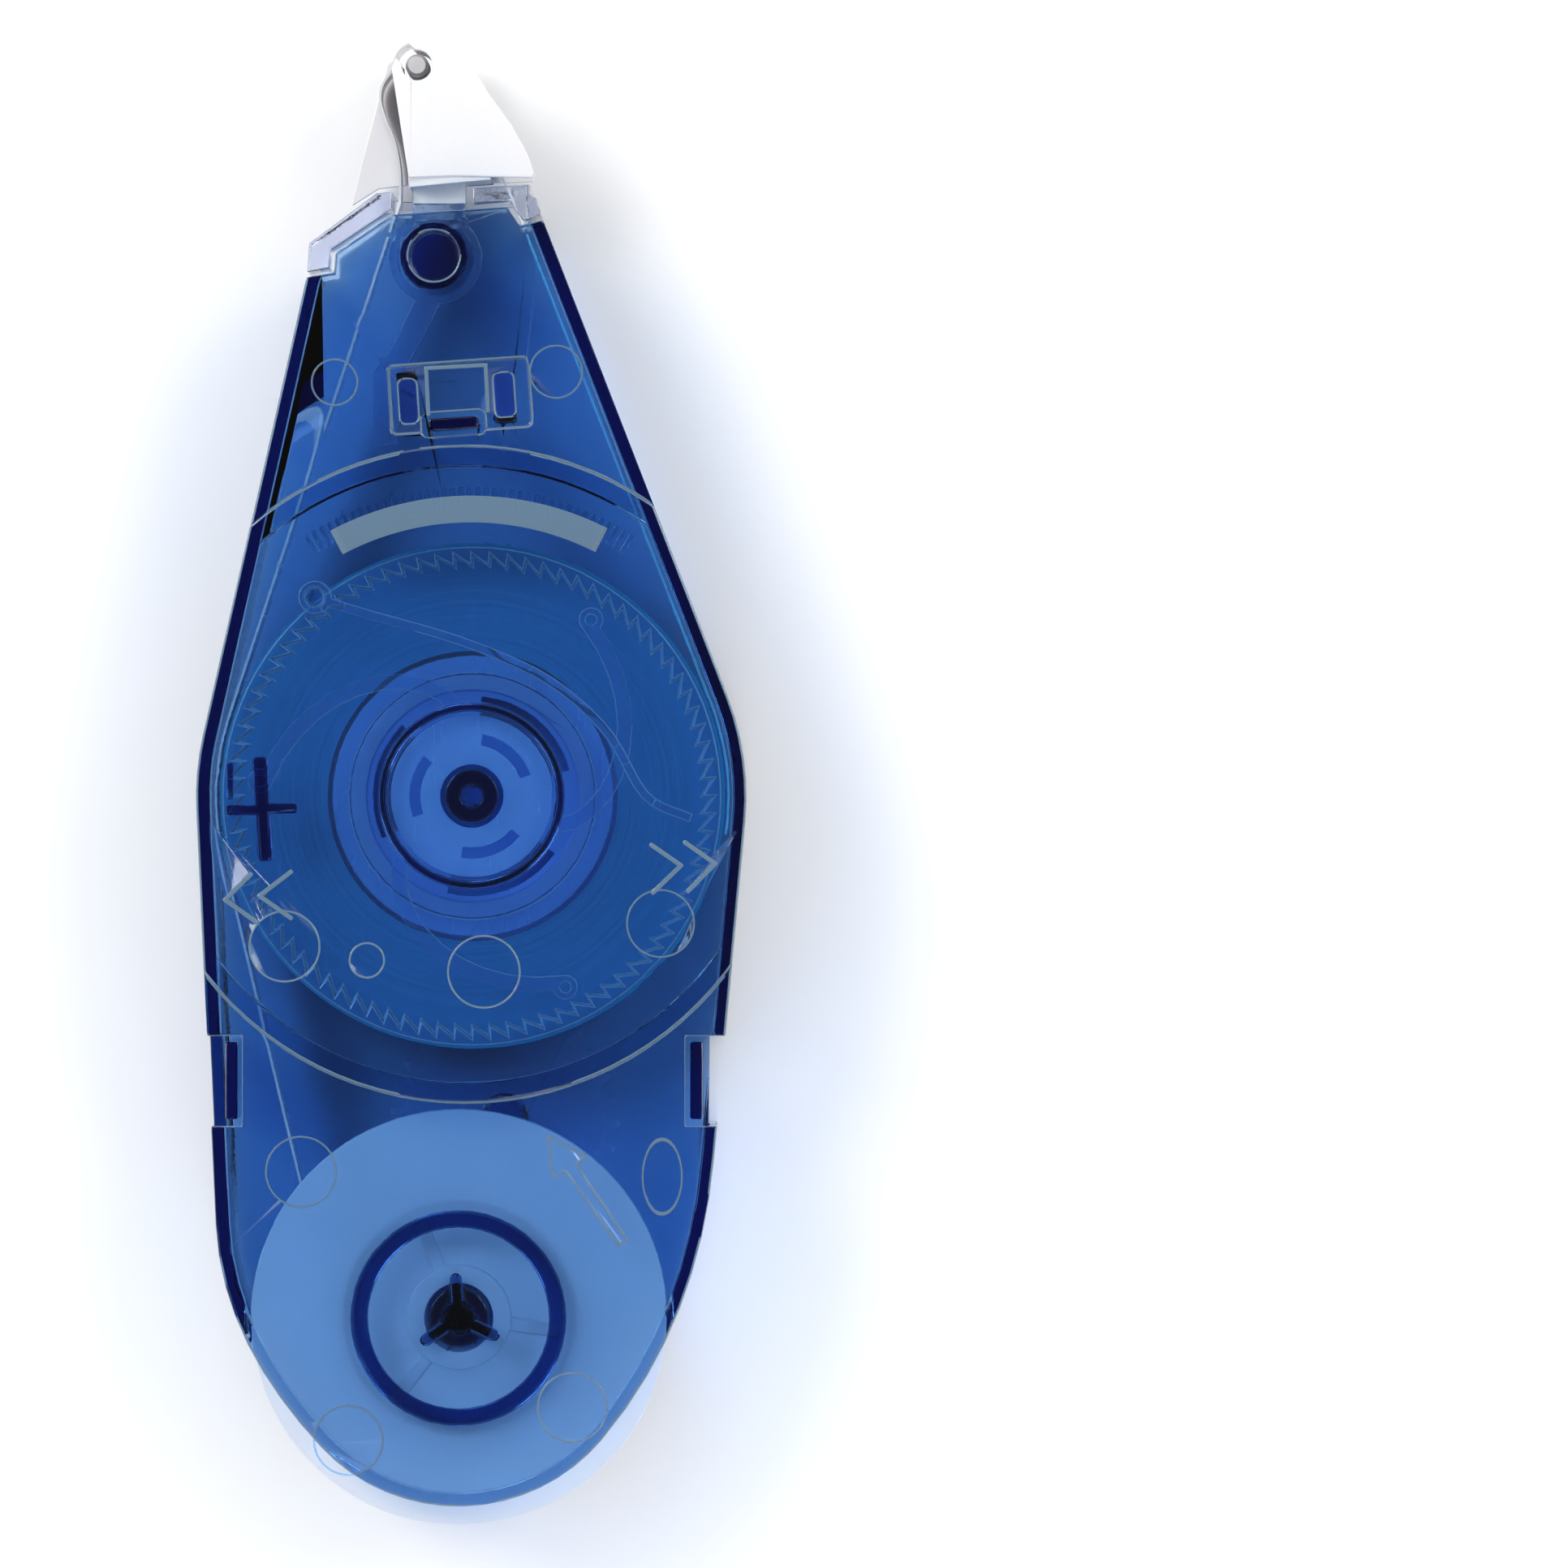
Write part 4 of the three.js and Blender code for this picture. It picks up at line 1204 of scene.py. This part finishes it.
@dataclass
class SupplyReel:
    """The full roll of tape with its core, hub and ratchet flange.

    Attributes:
        finishes: The material set.
        grooves: Height steps worked into the roll's wound sides.
        edge: Rounding of the mouldings' edges.
        dip: Depth of the deepest groove.
    """

    finishes: Finishes
    grooves: int = 24
    edge: float = 0.0001
    dip: float = 0.00004

    @staticmethod
    def nudge(piece: bpy.types.Object, corner: int, rise: float) -> None:
        """Move one corner of a piece up or down.

        Args:
            piece: The piece, active and in object mode.
            corner: Index of the corner.
            rise: How far it moves up, in metres.
        """
        piece.data.vertices[corner].select = True
        bpy.ops.object.mode_set(mode="EDIT")
        bpy.ops.transform.translate(value=(0, 0, rise))
        bpy.ops.mesh.select_all(action="DESELECT")
        bpy.ops.object.mode_set(mode="OBJECT")

    def wound_roll(self) -> bpy.types.Object:
        """Spin the roll's section, with slightly uneven wound sides.

        Returns:
            The closed roll.
        """
        low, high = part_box("tape_roll")
        axle = centre_of("core_ring")
        outer = (high.x - low.x) / 2
        core_low, core_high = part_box("core_ring")
        inner = (core_high.x - core_low.x) / 2 + 0.0003
        deselect_all()
        bpy.ops.mesh.primitive_plane_add(
            size=1, location=((inner + outer) / 2 + axle.x, axle.y, (low.z + high.z) / 2),
            rotation=(math.pi / 2, 0, 0),
        )
        piece = bpy.context.object
        piece.name = "wound_tape_roll"
        piece.scale = (outer - inner, high.z - low.z, 1)
        settle(piece)
        bpy.ops.object.mode_set(mode="EDIT")
        bpy.ops.mesh.select_all(action="SELECT")
        bpy.ops.mesh.subdivide(number_cuts=self.grooves)
        bpy.ops.mesh.select_all(action="DESELECT")
        bpy.ops.object.mode_set(mode="OBJECT")
        self.keep_section_edge(piece)
        for vertex in range(len(piece.data.vertices)):
            place = piece.data.vertices[vertex].co.copy()
            share = (place.x - axle.x - inner) / (outer - inner)
            if 0.02 < share < 0.98:
                dip = self.dip * (0.5 + 0.5 * math.sin(share * 61.0) * math.cos(share * 23.0))
                self.nudge(piece, vertex, dip if place.z < (low.z + high.z) / 2 else -dip)
        bpy.ops.object.mode_set(mode="EDIT")
        bpy.ops.mesh.select_all(action="SELECT")
        bpy.ops.mesh.spin(steps=144, angle=2 * math.pi, center=(axle.x, axle.y, 0), axis=(0, 0, 1))
        bpy.ops.mesh.select_all(action="SELECT")
        bpy.ops.mesh.remove_doubles(threshold=0.00001)
        bpy.ops.mesh.normals_make_consistent(inside=False)
        bpy.ops.object.mode_set(mode="OBJECT")
        return soften(piece, 0)

    @staticmethod
    def keep_section_edge(piece: bpy.types.Object) -> None:
        """Drop the section's faces and inner edges, so that only its outline is spun.

        Args:
            piece: The flat section.
        """
        pick(piece)
        bpy.ops.object.mode_set(mode="EDIT")
        bpy.ops.mesh.select_mode(type="VERT")
        bpy.ops.mesh.select_all(action="SELECT")
        bpy.ops.mesh.region_to_loop()
        bpy.ops.mesh.select_all(action="INVERT")
        bpy.ops.mesh.delete(type="VERT")
        bpy.ops.mesh.select_all(action="SELECT")
        bpy.ops.mesh.delete(type="ONLY_FACE")
        bpy.ops.mesh.select_all(action="DESELECT")
        bpy.ops.object.mode_set(mode="OBJECT")

    def build(self) -> None:
        """Make every piece of the reel."""
        stand_in(self.wound_roll(), "tape_roll", self.finishes, self.finishes.full_roll)
        clear_piece("ratchet_flange", self.edge, self.finishes)
        moulding("core_ring", self.edge, self.finishes)
        moulding("reel_hub", self.edge, self.finishes, self.finishes.hub)


@dataclass
class GearTrain:
    """The drive gear with its slip clutch, the idler and the take-up gear.

    Attributes:
        finishes: The material set.
        edge: Rounding of the gears' edges.
    """

    finishes: Finishes
    edge: float = 0.00006

    def build(self) -> None:
        """Make the gears and the clutch pieces."""
        clear_piece("clutch_spider", self.edge, self.finishes)
        for node in ("drive_gear", "clutch_cap", "idler_gear", "takeup_gear"):
            material = self.finishes.pale_clear if node in ("drive_gear", "idler_gear") else None
            moulding(node, self.edge, self.finishes, material)


@dataclass
class TakeupSpool:
    """The take-up spool with its thumb wheel and the used film wound on it.

    Attributes:
        finishes: The material set.
        edge: Rounding of the spool's edges.
    """

    finishes: Finishes
    edge: float = 0.0001

    def build(self) -> None:
        """Make the spool and the film roll."""
        moulding("takeup_spool", self.edge, self.finishes)
        stand_in(soften(copy_of_node("used_film_roll", "wound_used_film"), 0.00005),
                 "used_film_roll", self.finishes, self.finishes.film_roll)


@dataclass
class TapeRuns:
    """The free runs of tape, and the backstop arm beside them.

    Attributes:
        finishes: The material set.
    """

    finishes: Finishes

    def build(self) -> None:
        """Make the three runs and the arm."""
        for node in ("tape_run_out", "tip_tape", "film_run_back"):
            stand_in(soften(copy_of_node(node, node + "_strip"), 0), node, self.finishes)
        clear_piece("backstop_arm", 0.00008, self.finishes)


# ---- Studio ----


@dataclass
class Studio:
    """Pale floor, soft light and a camera that looks straight down.

    Attributes:
        aim: Point of the object's middle height that the camera looks at.
        width: Width of the view at that height.
        distance: Distance of the camera.
    """

    aim: Vector
    width: float = 0.1007
    distance: float = 0.9

    def floor(self) -> None:
        """Make the pale floor."""
        deselect_all()
        bpy.ops.mesh.primitive_plane_add(size=3.0, location=(0, 0, -0.00005))
        floor = bpy.context.object
        floor.name = "studio_floor"
        material, surface, _ = new_material("studio_paper")
        paper = link_noise(material.node_tree, 40.0, 2.0)
        tone = two_tone(material.node_tree, paper.outputs["Fac"], (0.96, 0.96, 0.96), (0.94, 0.94, 0.94))
        material.node_tree.links.new(tone, surface.inputs["Base Color"])
        surface.inputs["Roughness"].default_value = 0.9
        floor.data.materials.append(material)

    def lights(self) -> None:
        """Make the soft overhead lights and a white surround that dims towards the top."""
        world = bpy.data.worlds.new("studio_surround")
        bpy.context.scene.world = world
        world.use_nodes = True
        tree = world.node_tree
        backdrop = tree.nodes["Background"]
        backdrop.inputs["Color"].default_value = (1.0, 1.0, 1.0, 1)
        heading = tree.nodes.new("ShaderNodeTexCoord")
        parts = tree.nodes.new("ShaderNodeSeparateXYZ")
        fade = tree.nodes.new("ShaderNodeMapRange")
        fade.interpolation_type = "SMOOTHSTEP"
        fade.inputs["From Min"].default_value = 0.80
        fade.inputs["From Max"].default_value = 0.97
        fade.inputs["To Min"].default_value = 0.95
        fade.inputs["To Max"].default_value = 0.1
        tree.links.new(heading.outputs["Generated"], parts.inputs[0])
        tree.links.new(parts.outputs["Z"], fade.inputs["Value"])
        tree.links.new(fade.outputs["Result"], backdrop.inputs["Strength"])
        for place, size, power in (
            ((-0.45, 0.3, 0.5), 0.3, 2.4), ((0.45, 0.25, 0.5), 0.3, 1.2), ((0.1, -0.6, 0.4), 0.25, 0.6),
        ):
            light = bpy.data.lights.new("softbox", "AREA")
            light.size = size
            light.energy = power
            lamp = bpy.data.objects.new("softbox", light)
            lamp.location = place
            lamp.rotation_euler = (-Vector(place)).to_track_quat("-Z", "Y").to_euler()
            bpy.context.collection.objects.link(lamp)

    def camera(self) -> None:
        """Make the long-lens camera above the object."""
        data = bpy.data.cameras.new("camera")
        data.sensor_width = 36.0
        data.lens = 36.0 * self.distance / self.width
        data.clip_start = 0.01
        camera = bpy.data.objects.new("camera", data)
        camera.location = (self.aim.x, self.aim.y, self.aim.z + self.distance)
        bpy.context.collection.objects.link(camera)
        bpy.context.scene.camera = camera

    def build(self) -> None:
        """Set up the studio."""
        self.floor()
        self.lights()
        self.camera()
        scene = bpy.context.scene
        scene.view_settings.view_transform = "Standard"
        scene.cycles.max_bounces = 20
        scene.cycles.transmission_bounces = 18
        scene.cycles.transparent_max_bounces = 32


# ---- Main ----


def main() -> None:
    """Build the materials, each sub-assembly and the studio in order."""
    logging.basicConfig(level=logging.INFO, format="%(name)s: %(message)s")
    supply, takeup = centre_of("core_ring"), centre_of("takeup_spool")
    finishes = Finishes.make((supply.x, supply.y), (takeup.x, takeup.y))
    for part in (Case(finishes), Neck(finishes), Head(finishes), SupplyReel(finishes),
                 GearTrain(finishes), TakeupSpool(finishes), TapeRuns(finishes)):
        part.build()
        log.info("built %s", type(part).__name__)
    Studio(aim=Vector((0.01994, -0.0001, 0.0068))).build()


if __name__ == "__main__":
    main()
